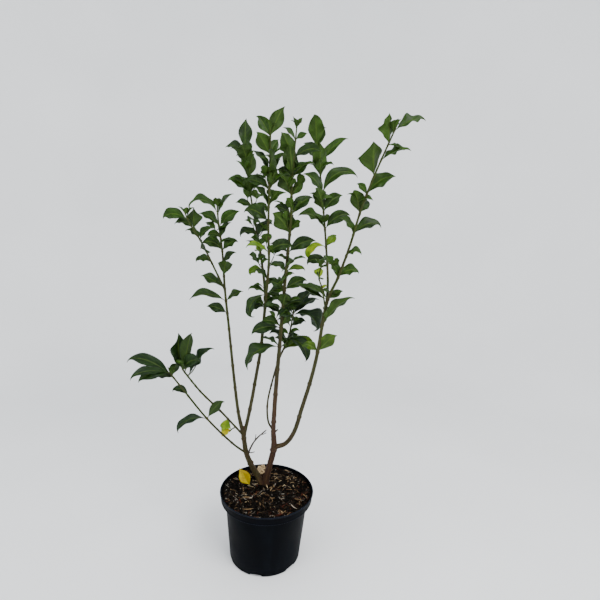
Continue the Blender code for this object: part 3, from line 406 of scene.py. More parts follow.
class Spray(NamedTuple):
    """A mass of leaves: its shoots, each a stem and its rule, and the look of its leaves.

    Shade runs from 0, deep green, to 1, fresh green, and old leaves are duller and bluer. Spurs is
    the chance of a short side shoot at a node. The tables go by (shoot, pair, side): how yellow a
    leaf is, how much broader, how the solids turn it clear of other wood (swing, lift, droop) or
    leave it out where it found no room, and how it is held where the photograph shows it
    otherwise. More lists (shoot, pair, leaf) for leaves that the solids don't have.
    """

    name: str
    shoots: tuple
    shade: float
    old: float
    spurs: float
    yellow: dict = {}
    broad: dict = {}
    turned: dict = {}
    held: dict = {}
    more: tuple = ()


SPRAYS = (
    Spray(
        "right_spray",
        (
            (RIGHT_BOUGH, RIGHT_LEAVES), (RIGHT_INNER, RIGHT_INNER_LEAVES),
            (RIGHT_TWIG, RIGHT_TWIG_LEAVES),
        ),
        shade=0.55, old=0, spurs=0.25,
        yellow={
            (0, 0, 0): 0.13, (0, 0, 1): 0.13, (0, 4, 0): 0.04, (1, 1, 0): 0.17, (1, 1, 1): 0.3,
            (1, 0, 0): 0.1, (2, 0, 0): 0.25, (2, 1, 0): 0.25,
        },
        broad={(1, 1, 1): 0.7, (1, 3, 0): 1.1, (0, 8, 0): 1.3, (0, 10, 0): 1.1},
        turned={
            (0, 0, 0): (0, -12, 0), (0, 1, 0): (-12, 0, 0), (0, 10, 1): (12, 0, 0),
            (1, 3, 1): (-50, 0, 20), (1, 6, 1): (12, 0, 0),
        },
        held={
            (0, 0, 0): (64, -25, 52, 25), (0, 8, 0): (68, -115, 60, 25),
            (0, 10, 0): (56, -110, 66, 15),
        },
        more=((0, 2, (86, -172, 16, -25)),),
    ),
    Spray(
        "left_spray",
        ((LEFT, LEFT_LEAVES), (LEFT_SIDE, LEFT_SIDE_LEAVES)),
        shade=0.45, old=0.1, spurs=0.1,
        turned={(0, 6, 1): (0, -12, 0), (0, 8, 0): (0, -12, 0)},
    ),
    Spray(
        "middle_spray",
        ((MIDDLE, MIDDLE_LEAVES), (MIDDLE_LEFT, MIDDLE_LEFT_LEAVES)),
        shade=0.45, old=0.15, spurs=0.75,
        yellow={(0, 4, 1): 0.22, (1, 1, 1): 0.24, (1, 1, 0): 0.2, (1, 0, 1): 0.2},
        broad={(0, 11, 1): 1.1, (0, 10, 1): 1.1, (0, 4, 1): 0.8, (0, 1, 1): 0.8},
        turned={(1, 7, 1): (0, 18, -20), (1, 8, 0): (38, 10, 0), (1, 9, 1): ABSENT},
        more=(
            (0, 1, (46, 178, 38, 60)), (0, 1, (48, -12, 35, 70)), (0, 0, (44, -165, 55, 80)),
            (0, 0, (42, 15, 60, 90)), (0, 2, (40, 170, 60, 70)), (1, 7, (62, 165, 52, 20)),
            (0, 9, (56, -165, 58, 30)), (0, 7, (52, -150, 58, 40)), (1, 5, (50, -100, 60, 40)),
        ),
    ),
    Spray(
        "centre_spray",
        ((RIGHT, CENTRE_LEAVES),),
        shade=0.4, old=0.2, spurs=0.75,
        yellow={(0, 4, 0): 0.13},
        broad={(0, 0, 1): 1.5, (0, 4, 0): 0.6, (0, 6, 1): 1.1, (0, 8, 1): 1.1, (0, 10, 0): 1.1},
        turned={(0, 1, 1): (12, 0, 0), (0, 3, 1): (12, 0, 0), (0, 5, 0): (0, -12, 0)},
        held={(0, 0, 1): (106, -172, 2, 105), (0, 8, 1): (66, -140, 58, 30)},
        more=(
            (0, 0, (50, 190, 42, 50)), (0, 1, (52, -165, 45, 80)), (0, 2, (48, 195, 30, 70)),
            (0, 1, (50, -40, 66, 50)), (0, 2, (46, -75, 62, 50)), (0, 9, (70, -110, 66, 20)),
        ),
    ),
    Spray(
        "inner_right_spray",
        ((THIN_SIDE, THIN_SIDE_LEAVES),),
        shade=0.35, old=0.6, spurs=0.9,
        yellow={(0, 0, 0): 0.16},
        broad={(0, 3, 0): 1.8},
        turned={(0, 1, 0): (-12, 0, 0)},
        held={(0, 3, 0): (88, -24, 18, 150)},
        more=(
            (0, 3, (68, -138, 58, 10)), (0, 3, (54, -132, 20, 80)), (0, 2, (42, -160, 50, 70)),
            (0, 1, (54, -150, 35, 50)), (0, 3, (86, 28, 58, 60)),
        ),
    ),
    Spray(
        "low_left_upper_spray",
        ((LOW_UPPER, LOW_UPPER_LEAVES),),
        shade=0.35, old=0.6, spurs=0.3,
        broad={(0, 1, 1): 1.45, (0, 1, 0): 0.85},
        turned={(0, 1, 1): (0, 18, -20)},
        held={(0, 1, 1): (85, 160, 58, -60)},
    ),
    Spray(
        "low_left_lower_spray",
        ((LOW_LOWER, LOW_LOWER_LEAVES),),
        shade=0.35, old=0.6, spurs=0,
        broad={
            (0, 0, 0): 0.75, (0, 0, 1): 0.75, (0, 1, 1): 0.8, (0, 2, 1): 0.9, (0, 3, 0): 0.75,
            (0, 3, 1): 0.65,
        },
        turned={(0, 0, 0): (-50, 0, 20), (0, 3, 1): (24, 6, 0)},
        held={
            (0, 0, 0): (64, -15, 62, 35), (0, 0, 1): (82, -158, 18, 110),
            (0, 3, 1): (88, -142, 18, 60),
        },
    ),
    Spray(
        "low_left_spur",
        ((LOW_SPUR, LOW_SPUR_LEAVES),),
        shade=0.6, old=0, spurs=0,
        yellow={(0, 0, 0): 0.78, (0, 0, 1): 0.26},
        broad={(0, 0, 0): 1.9, (0, 0, 1): 1.9},
        held={(0, 0, 0): (30, 178, -30, 20), (0, 0, 1): (31, 168, 30, 60)},
    ),
)


# ---------------------------------------------------------------- smooth noise

NOISE_CELLS = 32
NOISE_TABLE = np.random.RandomState(5).rand(NOISE_CELLS, NOISE_CELLS, NOISE_CELLS)


def noise(points):
    """Smooth noise from 0 to 1 at rows of (x, y, z)."""
    cell = np.floor(points).astype(int)
    part = points - cell
    part = part * part * (3 - 2 * part)
    total = np.zeros(len(points))
    for step in np.ndindex(2, 2, 2):
        weight = np.ones(len(points))
        for axis in range(3):
            weight *= part[:, axis] if step[axis] else 1 - part[:, axis]
        corner = (cell + step) % NOISE_CELLS
        total += weight * NOISE_TABLE[corner[:, 0], corner[:, 1], corner[:, 2]]
    return total


# ---------------------------------------------------------------- joined meshes

def linked(name, data):
    """An object of the scene that shows some data."""
    made = bpy.data.objects.new(name, data)
    bpy.context.scene.collection.objects.link(made)
    return made


class Bundle:
    """Many closed bodies gathered into one mesh, with named values at each point."""

    def __init__(self):
        self.points = []
        self.faces = []
        self.values = {}
        self.count = 0

    def add(self, points, faces, **values):
        self.points.append(points)
        self.faces += [[corner + self.count for corner in face] for face in faces]
        for name, rows in values.items():
            self.values.setdefault(name, []).append(rows)
        self.count += len(points)

    def make(self, name, finish):
        data = bpy.data.meshes.new(name)
        data.from_pydata(np.concatenate(self.points).tolist(), [], self.faces)
        data.validate()
        for key, rows in self.values.items():
            attribute = data.attributes.new(key, "FLOAT_VECTOR", "POINT")
            attribute.data.foreach_set("vector", np.concatenate(rows).astype(np.float32).ravel())
        data.materials.append(finish)
        data.shade_smooth()
        return linked(name, data)


def ring_faces(rings, sides):
    """Quads between rings of points that follow each other, and an end face at each end."""
    faces = []
    for low in range(0, (rings - 1) * sides, sides):
        for i in range(sides):
            j = (i + 1) % sides
            faces.append([low + i, low + j, low + sides + j, low + sides + i])
    top = (rings - 1) * sides
    faces.append(list(range(sides - 1, -1, -1)))
    faces.append(list(range(top, top + sides)))
    return faces


# ---------------------------------------------------------------- leaves in detail

PETIOLE_SHARE = 0.10
PETIOLE_RADIUS = 0.0011
PETIOLE_STATIONS = 4
SPINE_STEPS = 80
# Rows along the blade and points across it, for leaves up to each length
LEAF_GRAIN = ((0.034, 26, 9), (0.050, 36, 11), (1.0, 44, 13))
OUTLINE_AT = (0.0, 0.04, 0.10, 0.18, 0.28, 0.38, 0.48, 0.60, 0.71, 0.80, 0.87, 0.93, 1.0)
OUTLINE = (0.05, 0.11, 0.25, 0.48, 0.74, 0.91, 1.0, 0.96, 0.78, 0.50, 0.28, 0.14, 0.012)
BLADE_SHARE = 0.275
BROADEST_BLADE = 0.0175
BLADE_THICKNESS = 0.00035
YOUNG_THICKNESS = BLADE_THICKNESS * 0.8
YOUNG_CALM = 0.6
FULL_GROWN = 0.06
HOOK_FROM = 0.78
VEIN_PAIRS = 6
VEIN_SWEEP = 0.26
QUILT = 0.00042
TOOTH = 0.022
TOOTHED_FROM = 0.08
TOOTHED_TO = 0.93
FOLD_FOOT = 26
FOLD_MIDDLE = 15
# Leaves that reach out sideways fold up more and are narrower than those at the front and back.
SIDE_FOLD = 5
FRONT_BREADTH = 1.32
SIDE_BREADTH_CUT = 0.45


def outline_width(share):
    """The blade's half width at shares of its length, as a share of the widest."""
    fine = np.linspace(0, 1, 401)
    cornered = np.pad(np.interp(fine, OUTLINE_AT, OUTLINE), 12, "edge")
    smooth = np.convolve(cornered, np.ones(25) / 25, "valid")
    return np.interp(share, fine, smooth)


@dataclass
class Habit:
    """What sets one leaf apart: its waves, its twist and bend, and its hooked tip."""

    wave: float
    waves: float
    phases: tuple
    twist: float
    bend: float
    dish: float
    hook: float


def habit(chance, calm=1.0):
    """A leaf's habit by chance, the calmer the smaller calm is."""
    return Habit(
        chance.uniform(0.14, 0.34) * calm, chance.uniform(1.3, 2.6),
        (chance.uniform(0, 6.28), chance.uniform(0, 6.28)),
        chance.uniform(-38, 38) * calm, chance.uniform(-20, 20) * calm, chance.uniform(0.03, 0.10),
        chance.uniform(5, 75) * calm,
    )


def unit_rows(rows):
    """Rows of directions, each of length 1."""
    return rows / np.linalg.norm(rows, axis=1, keepdims=True)


def leaf_spine(pose, ways, stations):
    """A leaf's midrib at stations along it: its points, and its directions aside and up."""
    steps = np.linspace(0, 1, SPINE_STEPS + 1)
    angle = np.radians(pose.rise - pose.curl * steps ** DROOP_POWER)
    end = np.clip((steps - HOOK_FROM) / (1 - HOOK_FROM), 0, 1) ** 1.5
    angle -= np.radians(ways.hook) * end
    aim = math.atan2(pose.heading.y, pose.heading.x) + np.radians(ways.bend) * (steps ** 2 - 1.6 * end)
    ahead = np.stack([np.cos(aim), np.sin(aim), np.zeros_like(aim)], 1)
    tangent = ahead * np.cos(angle)[:, None] + np.array([0, 0, 1]) * np.sin(angle)[:, None]
    run = np.vstack([np.zeros(3), np.cumsum(tangent[:-1], 0)])
    spine = np.array(pose.base) + run * pose.length / SPINE_STEPS
    rib = np.stack([np.interp(stations, steps, spine[:, k]) for k in range(3)], 1)
    along = unit_rows(np.stack([np.interp(stations, steps, tangent[:, k]) for k in range(3)], 1))
    aims = np.interp(stations, steps, aim)
    flat_side = np.stack([-np.sin(aims), np.cos(aims), np.zeros(len(stations))], 1)
    flat_up = np.cross(along, flat_side)
    roll = np.radians(pose.roll + ways.twist * stations)[:, None]
    side = flat_side * np.cos(roll) + flat_up * np.sin(roll)
    return rib, side, np.cross(along, side)


def leaf_section(pose, ways, stations, share, cross, thick, broad):
    """How far each point of a leaf lies out from its midrib, and its upper and lower heights.

    Share runs along the blade from 0 to 1, and cross from -1 to 1 over it.
    """
    length = pose.length
    aside = abs(pose.heading.x)
    breadth = FRONT_BREADTH - SIDE_BREADTH_CUT * aside
    widest = min(BLADE_SHARE * length, BROADEST_BLADE) * broad * breadth
    half = outline_width(share) * widest
    toothed = (share > TOOTHED_FROM) & (share < TOOTHED_TO)
    teeth = TOOTH * np.where(np.arange(len(stations)) % 2, 1, -1) * toothed
    stalk = PETIOLE_RADIUS * (0.55 + 0.20 * min(1.0, length / FULL_GROWN))
    on_stalk = stations < PETIOLE_SHARE
    half = np.where(on_stalk, stalk, np.maximum(half, stalk * (1 - share) ** 2 + 0.0001))
    more_fold = (FOLD_FOOT - FOLD_MIDDLE) * np.abs(2 * share - 1) ** 1.5
    fold = np.radians(FOLD_MIDDLE + SIDE_FOLD * aside + more_fold)
    fold = np.where(on_stalk, 0, fold)

    reach = np.abs(cross)
    fade = np.sin(np.pi * np.clip(share, 0, 1)) ** 0.6
    out = cross * (half * np.cos(fold))[:, None]
    out *= 1 + teeth[:, None] * reach ** 6
    lift = reach * (half * np.sin(fold))[:, None]
    lift += (ways.dish * half * fade)[:, None] * (1 - (2 * reach - 1) ** 2)
    phase = np.where(cross < 0, ways.phases[0], ways.phases[1])
    swell = np.sin(2 * np.pi * ways.waves * share[:, None] + phase)
    lift += (ways.wave * half * fade)[:, None] * reach ** 1.6 * swell
    place = share[:, None] - VEIN_SWEEP * reach
    quilt = QUILT * np.abs(np.sin(np.pi * VEIN_PAIRS * place)) * 4 * reach * (1 - reach) ** 0.7
    lift += quilt * fade[:, None] * min(1.0, length / FULL_GROWN)
    stalk_top = 0.7 * stalk * np.sqrt(np.clip(1 - cross ** 2, 0, 1))
    lift = np.where(on_stalk[:, None], stalk_top, lift)

    keel = stalk * (1 - share) ** 0.8 + 0.00008
    ridge = keel[:, None] * np.exp(-((out / (0.8 * stalk + 0.0002)) ** 2))
    under = lift - thick * (1 - reach ** 8) - ridge
    under = np.where(on_stalk[:, None], -1.1 * stalk_top, under)
    return out, lift, under


def leaf_faces(count, across):
    """Faces of a leaf: its upper grid, and its lower one that shares the upper one's edges."""
    top = np.arange(count * across).reshape(count, across)
    inner = np.arange(count * (across - 2)).reshape(count, -1) + count * across
    low = np.hstack([top[:, :1], inner, top[:, -1:]])
    faces = []
    for i in range(count - 1):
        for j in range(across - 1):
            faces.append([top[i, j], top[i + 1, j], top[i + 1, j + 1], top[i, j + 1]])
            faces.append([low[i, j], low[i, j + 1], low[i + 1, j + 1], low[i + 1, j]])
    faces.append(list(top[0]) + list(low[0, -2:0:-1]))
    faces.append(list(top[-1, ::-1]) + list(low[-1, 1:-1]))
    return [[int(corner) for corner in face] for face in faces]


def leaf_body(pose, ways, thick=BLADE_THICKNESS, broad=1.0):
    """A closed leaf: points, faces, and its place values (along, across, underside)."""
    rows, across = next(row[1:] for row in LEAF_GRAIN if pose.length <= row[0])
    petiole = np.linspace(0, PETIOLE_SHARE, PETIOLE_STATIONS, endpoint=False)
    blade = PETIOLE_SHARE + (1 - PETIOLE_SHARE) * np.linspace(0, 1, rows)
    stations = np.concatenate([petiole, blade])
    share = np.clip((stations - PETIOLE_SHARE) / (1 - PETIOLE_SHARE), 0, 1)
    cross = np.linspace(-1, 1, across)
    rib, side, up = leaf_spine(pose, ways, stations)
    out, lift, under = leaf_section(pose, ways, stations, share, cross, thick, broad)

    def laid(height):
        return rib[:, None, :] + side[:, None, :] * out[:, :, None] + up[:, None, :] * height[:, :, None]

    points = np.vstack([laid(lift).reshape(-1, 3), laid(under)[:, 1:-1].reshape(-1, 3)])
    on_stalk = stations < PETIOLE_SHARE
    signed = np.where(on_stalk, (stations - PETIOLE_SHARE) * 2, share)
    grid = np.stack(np.broadcast_arrays(signed[:, None], cross[None, :]), -1)
    upper = grid.reshape(-1, 2)
    lower = grid[:, 1:-1].reshape(-1, 2)
    values = np.concatenate([
        np.column_stack([upper, np.zeros(len(upper))]), np.column_stack([lower, np.ones(len(lower))]),
    ])
    return points, leaf_faces(len(stations), across), values


def add_leaf(bundle, pose, ways, tint, thick=BLADE_THICKNESS, broad=1.0):
    """Adds a leaf with its place values and its tint (shade, yellow, old) at each point."""
    points, faces, place = leaf_body(pose, ways, thick, broad)
    bundle.add(points, faces, leaf_place=place, leaf_tint=np.tile(tint, (len(points), 1)))


# ---------------------------------------------------------------- wood in detail

# Rows of (thickest radius below, sides, ring step)
WOOD_GRAIN = ((0.0012, 10, 0.0030), (0.0026, 18, 0.0028), (0.0045, 28, 0.0024), (1.0, 48, 0.0018))
NODE_SWELL = 0.26
NODE_REACH = 0.0028
NODE_MARK_REACH = 0.0016
FLARE_REACH = 0.012
BARK_LAYER = 0.0005
# Scales of the bark's relief round and along the wood, per millimetre
COARSE_RELIEF = (1.1, 1.1, 0.16)
FINE_RELIEF = (2.6, 2.6, 0.5)
CORK_LINES = 4
CORK_TWIST = 9
BUD_RINGS = ((0.0, 0.6), (0.25, 1.0), (0.55, 0.85), (0.8, 0.48), (0.95, 0.16))
BUD_SIDES = 8
BUD_OVER_LEAF = 0.0016
AXIL = 0.001


def add_wood(bundle, stem, start, ages, nodes=(), flare=0.0, collar=0.0, relief=1.0, blunt=False):
    """A stem with its bark, from a distance along it to its tip.

    Ages are (share of the stretch, age) knots, where age 1 is brown fissured bark and 0 a green
    shoot. Nodes swell at the distances given, a flare widens the stem's foot at the substrate,
    and a collar widens the start where the stem leaves its carrier. A blunt end is left flat.
    """
    end = stem.length
    thickest = stem.radius(start)
    sides, step = next(row[1:] for row in WOOD_GRAIN if thickest < row[0])
    distances = np.append(np.arange(start, end, step), end)
    frames = [stem.frame(distance) for distance in distances]
    centres, across, over = (np.array([row[k] for row in frames], float) for k in range(3))
    radius = np.array([stem.radius(distance) for distance in distances]) + BARK_LAYER
    for node in nodes:
        radius *= 1 + NODE_SWELL * np.exp(-(((distances - node) / NODE_REACH) ** 2))
    radius += flare * np.exp(-distances / FLARE_REACH)
    radius *= 1 + collar * np.exp((start - distances) / (1.6 * thickest))
    if not blunt:
        closing = np.clip((end - distances) / (0.8 * stem.radius(end)), 0, 1)
        radius *= np.sqrt(1 - (1 - closing) ** 2) * 0.96 + 0.04
    angle = np.linspace(0, 2 * np.pi, sides, endpoint=False)
    around = np.stack([np.cos(angle), np.sin(angle)], 1)
    grid = np.concatenate([
        np.repeat(around[None], len(distances), 0) * radius[:, None, None] * 1000,
        np.broadcast_to((distances * 1000)[:, None, None], (len(distances), sides, 1)),
    ], 2).reshape(-1, 3)
    share = (distances - start) / (end - start)
    old = np.repeat(np.interp(share, *zip(*ages)), sides)
    rough = noise(grid * COARSE_RELIEF + 3.7) - 0.5
    fine = noise(grid * FINE_RELIEF + 11.3) - 0.5
    lines = np.cos(angle[None, :] * CORK_LINES + distances[:, None] * CORK_TWIST)
    cork = np.maximum(0, lines).reshape(-1) ** 10
    bulge = old * (0.22 * rough + 0.12 * fine) + (1 - old) * (0.07 * cork + 0.04 * rough)
    out = np.repeat(radius, sides) * (1 + relief * bulge)
    aside, above = (np.tile(around, (len(distances), 1)) * out[:, None]).T[:, :, None]
    points = np.repeat(centres, sides, 0)
    points = points + np.repeat(across, sides, 0) * aside + np.repeat(over, sides, 0) * above
    near = np.zeros(len(distances))
    for node in nodes:
        near = np.maximum(near, np.exp(-(((distances - node) / NODE_MARK_REACH) ** 2)))
    looks = np.stack([old, np.repeat(near, sides), cork], 1)
    bundle.add(points, ring_faces(len(distances), sides), bark_place=grid, bark_look=looks)


def add_bud(bundle, base, aim, length, radius):
    """A small pointed bud along a direction."""
    aim = Vector(aim).normalized()
    side = aim.orthogonal().normalized()
    over = aim.cross(side)
    points = []
    for share, wide in BUD_RINGS:
        for i in range(BUD_SIDES):
            angle = 2 * math.pi * i / BUD_SIDES
            out = side * math.cos(angle) + over * math.sin(angle)
            points.append(tuple(base + aim * (length * share) + out * (radius * wide)))
    points = np.array(points)
    looks = np.tile((0.25, 1.0, 0.0), (len(points), 1))
    faces = ring_faces(len(BUD_RINGS), BUD_SIDES)
    bundle.add(points, faces, bark_place=points * 1000, bark_look=looks)


class Young(NamedTuple):
    """What the leaves of a young shoot are drawn from: three spans, and a swing and roll aside."""

    swing: float
    rise: tuple
    curl: tuple
    roll: float
    length: tuple


SPUR_LEAVES = Young(15, (35, 65), (40, 90), 20, (0.024, 0.040))
TIP_LEAVES = Young(12, (58, 80), (10, 70), 25, (0.024, 0.034))
TIP_TIERS = 3
TIP_SHRINK = 0.28
TWIG_GIRTHS = (0.75, 0.62, 0.5)


def add_young_pair(leaves, base, turn, young, chance, tint, grown=1.0, lit=False):
    """Two small leaves on either side of a young shoot."""
    for side in (0, 180):
        pose = Pose(
            base, heading_at(turn + side + chance.uniform(-young.swing, young.swing)),
            chance.uniform(*young.rise), chance.uniform(*young.curl),
            chance.uniform(-young.roll, young.roll), chance.uniform(*young.length) * grown,
        )
        if lit:
            pose = to_light(pose)
        add_leaf(leaves, pose, habit(chance, YOUNG_CALM), tint, YOUNG_THICKNESS)


def add_spur(leaves, wood, stem, distance, heading, chance, tint):
    """A short side shoot in a leaf's axil, with two or four young leaves."""
    reach = chance.uniform(0.010, 0.026)
    first = raised(heading_at(heading), chance.uniform(48, 66))
    base = stem.point(distance + AXIL)
    middle = base + first * (reach * 0.55)
    tip = middle + (first + UPWARDS * 0.35).normalized() * (reach * 0.55)
    twig = Stem((base, middle, tip), TWIG_GIRTHS)
    add_wood(wood, twig, 0.0, ((0, 0.1), (1, 0)), relief=0.5)
    turn = chance.uniform(0, 180)
    for tier in range(chance.choice((1, 1, 2))):
        at = twig.point(twig.length * (1 - 0.4 * tier))
        add_young_pair(leaves, at, turn + 90 * tier, SPUR_LEAVES, chance, tint, lit=True)


def add_tip(leaves, buds, stem, chance, tint):
    """The growing end of a shoot: small upright leaves round a pointed bud."""
    turn = chance.uniform(0, 90)
    for tier in range(TIP_TIERS):
        at = stem.point(stem.length - 0.010 + 0.0045 * tier)
        grown = 1 - TIP_SHRINK * tier
        add_young_pair(leaves, at, turn + 90 * tier, TIP_LEAVES, chance, tint, grown)
    _, across, over = stem.frame(stem.length - 0.002)
    add_bud(buds, stem.point(stem.length - 0.0015), across.cross(over), 0.0050, 0.0011)


# ---------------------------------------------------------------- finishes

def colour(red, green, blue):
    """A display colour of 0 to 255 as the linear colour that shaders take."""
    parts = [channel / 255 for channel in (red, green, blue)]
    return (*(part / 12.92 if part < 0.04 else ((part + 0.055) / 1.055) ** 2.4 for part in parts), 1)


class Output:
    """A shader node's output, for sums and products with numbers and other outputs."""

    def __init__(self, finish, socket):
        self.finish = finish
        self.socket = socket

    def __add__(self, other):
        return self.finish.math("ADD", self, other)

    def __sub__(self, other):
        return self.finish.math("SUBTRACT", self, other)

    def __mul__(self, other):
        return self.finish.math("MULTIPLY", self, other)

    def __pow__(self, other):
        return self.finish.math("POWER", self, other)


class Finish:
    """A procedural material built step by step. Each step gives back a node's output."""

    def __init__(self, name):
        self.material = bpy.data.materials.new(name)
        self.material.use_nodes = True
        self.tree = self.material.node_tree
        self.tree.nodes.clear()
        self.shader = self.node("BsdfPrincipled")
        self.tree.links.new(self.shader.outputs[0], self.node("OutputMaterial").inputs[0])

    def node(self, kind, **settings):
        made = self.tree.nodes.new("ShaderNode" + kind)
        for key, value in settings.items():
            setattr(made, key, value)
        return made

    def feed(self, socket, value):
        if isinstance(value, Output):
            self.tree.links.new(value.socket, socket)
        else:
            socket.default_value = value

    def step(self, kind, inputs, output=0, **settings):
        """A node with some of its inputs fed, as the output wanted."""
        made = self.node(kind, **settings)
        for key, value in inputs.items():
            self.feed(made.inputs[key], value)
        return Output(self, made.outputs[output])

    def set(self, **inputs):
        for key, value in inputs.items():
            self.feed(self.shader.inputs[key.replace("_", " ")], value)

    def attribute(self, name):
        return self.step("Attribute", {}, "Vector", attribute_name=name)

    def place(self):
        return self.step("TexCoord", {}, "Object")

    def parts(self, vector):
        split = self.node("SeparateXYZ")
        self.feed(split.inputs[0], vector)
        return [Output(self, socket) for socket in split.outputs]

    def math(self, operation, *values, clamp=False):
        return self.step("Math", dict(enumerate(values)), operation=operation, use_clamp=clamp)

    def span(self, value, low, high, to_low=0.0, to_high=1.0):
        """A value's place between low and high, eased and held to the two new ends."""
        numbers = dict(enumerate((value, low, high, to_low, to_high)))
        return self.step("MapRange", numbers, interpolation_type="SMOOTHSTEP")

    def scaled(self, vector, scale):
        return self.step("VectorMath", {0: vector, 1: scale}, operation="MULTIPLY")

    def noise(self, vector, scale, detail=3.0, rough=0.55):
        inputs = {"Vector": vector, "Scale": scale, "Detail": detail, "Roughness": rough}
        return self.step("TexNoise", inputs)

    def cells(self, vector, scale):
        return self.step("TexVoronoi", {"Vector": vector, "Scale": scale}, "Distance")

    def mix(self, share, first, second):
        return self.step("Mix", {0: share, 6: first, 7: second}, 2, data_type="RGBA")

    def ramp(self, share, stops):
        made = self.node("ValToRGB")
        self.feed(made.inputs[0], share)
        elements = made.color_ramp.elements
        while len(elements) < len(stops):
            elements.new(1.0)
        for element, (position, shade) in zip(elements, stops):
            element.position = position
            element.color = colour(*shade)
        return Output(self, made.outputs[0])

    def bump(self, height, strength, distance):
        inputs = {"Strength": strength, "Distance": distance, "Height": height}
        self.feed(self.shader.inputs["Normal"], self.step("Bump", inputs))


def leaf_finish():
    """A leaf: dark glossy green with pale veins, by its tint fresher, older or turning yellow."""
    made = Finish("spindle_leaf")
    along, across, under = made.parts(made.attribute("leaf_place"))
    shade, yellow, old = made.parts(made.attribute("leaf_tint"))
    here = made.place()
    side = made.math("ABSOLUTE", across)
    patch = made.noise(here, 55)
    fine = made.noise(here, 420, 2.0)
    fresh = made.math("ADD", shade, made.span(patch, 0.3, 0.7, -0.25, 0.25), clamp=True)
    green = made.mix(fresh, colour(9, 26, 0), colour(38, 68, 1))
    green = made.mix(old, green, colour(4, 26, 8))
    green = made.mix(made.span(fine, 0.35, 0.75, 0.0, 0.25), green, colour(6, 18, 1))

    slant = along - side * VEIN_SWEEP
    wave = made.math("ABSOLUTE", made.math("SINE", slant * (math.pi * VEIN_PAIRS)))
    vein = made.span(wave, 0.03, 0.20, 1.0, 0.0) * made.span(side, 0.55, 0.98, 1.0, 0.0)
    vein = vein * made.span(along, 0.0, 0.04, 0.0, 1.0)
    rib = made.span(side, 0.035, 0.11, 1.0, 0.0)
    stalk = made.span(along, -0.01, 0.01, 1.0, 0.0)

    turning = yellow + made.span(patch, 0.35, 0.65, -0.12, 0.12) - vein * 0.14
    turning = made.math("MULTIPLY", turning, made.span(yellow, 0.0, 0.12, 0.0, 1.0), clamp=True)
    spent = made.ramp(turning, (
        (0.0, (48, 80, 4)), (0.28, (92, 122, 8)), (0.5, (146, 160, 20)),
        (0.8, (172, 156, 0)), (1.0, (136, 114, 0)),
    ))
    blade = made.mix(made.span(yellow, 0.02, 0.3), green, spent)
    pale = made.mix(0.4, blade, colour(110, 136, 50))
    blade = made.mix(vein * 0.25, blade, pale)
    blade = made.mix(rib * 0.42, blade, pale)
    back = made.mix(0.22, blade, colour(66, 88, 34))
    blade = made.mix(under, blade, back)
    blade = made.mix(stalk, blade, colour(48, 62, 20))
    rough = made.span(fine, 0.3, 0.7, 0.40, 0.52) + under * 0.2
    made.set(Base_Color=blade, Roughness=rough, Specular_IOR_Level=0.16)
    made.bump(vein * -0.6 + fine * 0.35, 0.35, 0.0004)
    return made.material


def bark_finish():
    """Bark by its age: smooth green shoots with corky lines, then olive, then fissured brown."""
    made = Finish("spindle_bark")
    place = made.attribute("bark_place")
    old, near, cork = made.parts(made.attribute("bark_look"))
    grain = made.noise(made.scaled(place, (0.9, 0.9, 0.12)), 1.0, 4.0, 0.6)
    patch = made.noise(made.scaled(place, (0.12, 0.12, 0.03)), 1.0)
    speck = made.cells(made.scaled(place, (0.55, 0.55, 0.30)), 1.0)
    age = made.math("ADD", old, made.span(patch, 0.3, 0.7, -0.12, 0.12), clamp=True)
    base = made.ramp(age, (
        (0.0, (42, 56, 8)), (0.25, (43, 46, 14)), (0.5, (42, 39, 16)),
        (0.75, (54, 36, 20)), (1.0, (50, 30, 20)),
    ))
    dark = made.mix(0.6, base, colour(12, 9, 4))
    light = made.mix(0.5, base, colour(104, 86, 56))
    base = made.mix(made.span(grain, 0.30, 0.55, 0.75, 0.0), base, dark)
    base = made.mix(made.span(grain, 0.55, 0.80) * (age * 0.8), base, light)
    lenticel = made.span(speck, 0.10, 0.22, 0.55, 0.0)
    base = made.mix(lenticel, base, colour(96, 78, 46))
    base = made.mix(made.span(cork, 0.4, 0.9) * 0.35, base, colour(92, 74, 34))
    base = made.mix(near * 0.45, base, colour(52, 36, 20))
    rough = made.span(grain, 0.3, 0.7, 0.6, 0.85)
    made.set(Base_Color=base, Roughness=rough, Specular_IOR_Level=0.2)
    made.bump(grain + lenticel * 0.5, 0.6, 0.0006)
    return made.material


def dry_finish():
    """Dead grey-brown wood with a fine grain."""
    made = Finish("dry_wood")
    grain = made.noise(made.scaled(made.attribute("bark_place"), (1.6, 1.6, 0.15)), 1.0, 4.0)
    shade = made.ramp(grain, ((0.3, (24, 18, 13)), (0.55, (48, 39, 30)), (0.75, (78, 66, 50))))
    made.set(Base_Color=shade, Roughness=made.span(grain, 0.3, 0.7, 0.7, 0.9))
    made.bump(grain, 0.6, 0.0004)
    return made.material


def cut_finish():
    """The weathered sawn face of the old stump: pale tan with rings and dark checks."""
    made = Finish("cut_wood")
    place = made.attribute("bark_place")
    across, over, _ = made.parts(place)
    radius = (across ** 2.0 + over ** 2.0) ** 0.5
    rough = made.noise(place, 0.5, 4.0)
    rings = made.math("SINE", radius * 5.0 + rough * 4.0)
    shade = made.span(rings, -1.0, 1.0, 0.0, 0.6)
    wood = made.mix(shade, colour(196, 172, 128), colour(150, 120, 80))
    wood = made.mix(made.span(rough, 0.3, 0.58, 0.85, 0.0), wood, colour(74, 50, 30))
    made.set(Base_Color=wood, Roughness=made.span(rough, 0.3, 0.7, 0.75, 0.92))
    made.bump(rough, 0.7, 0.0008)
    return made.material


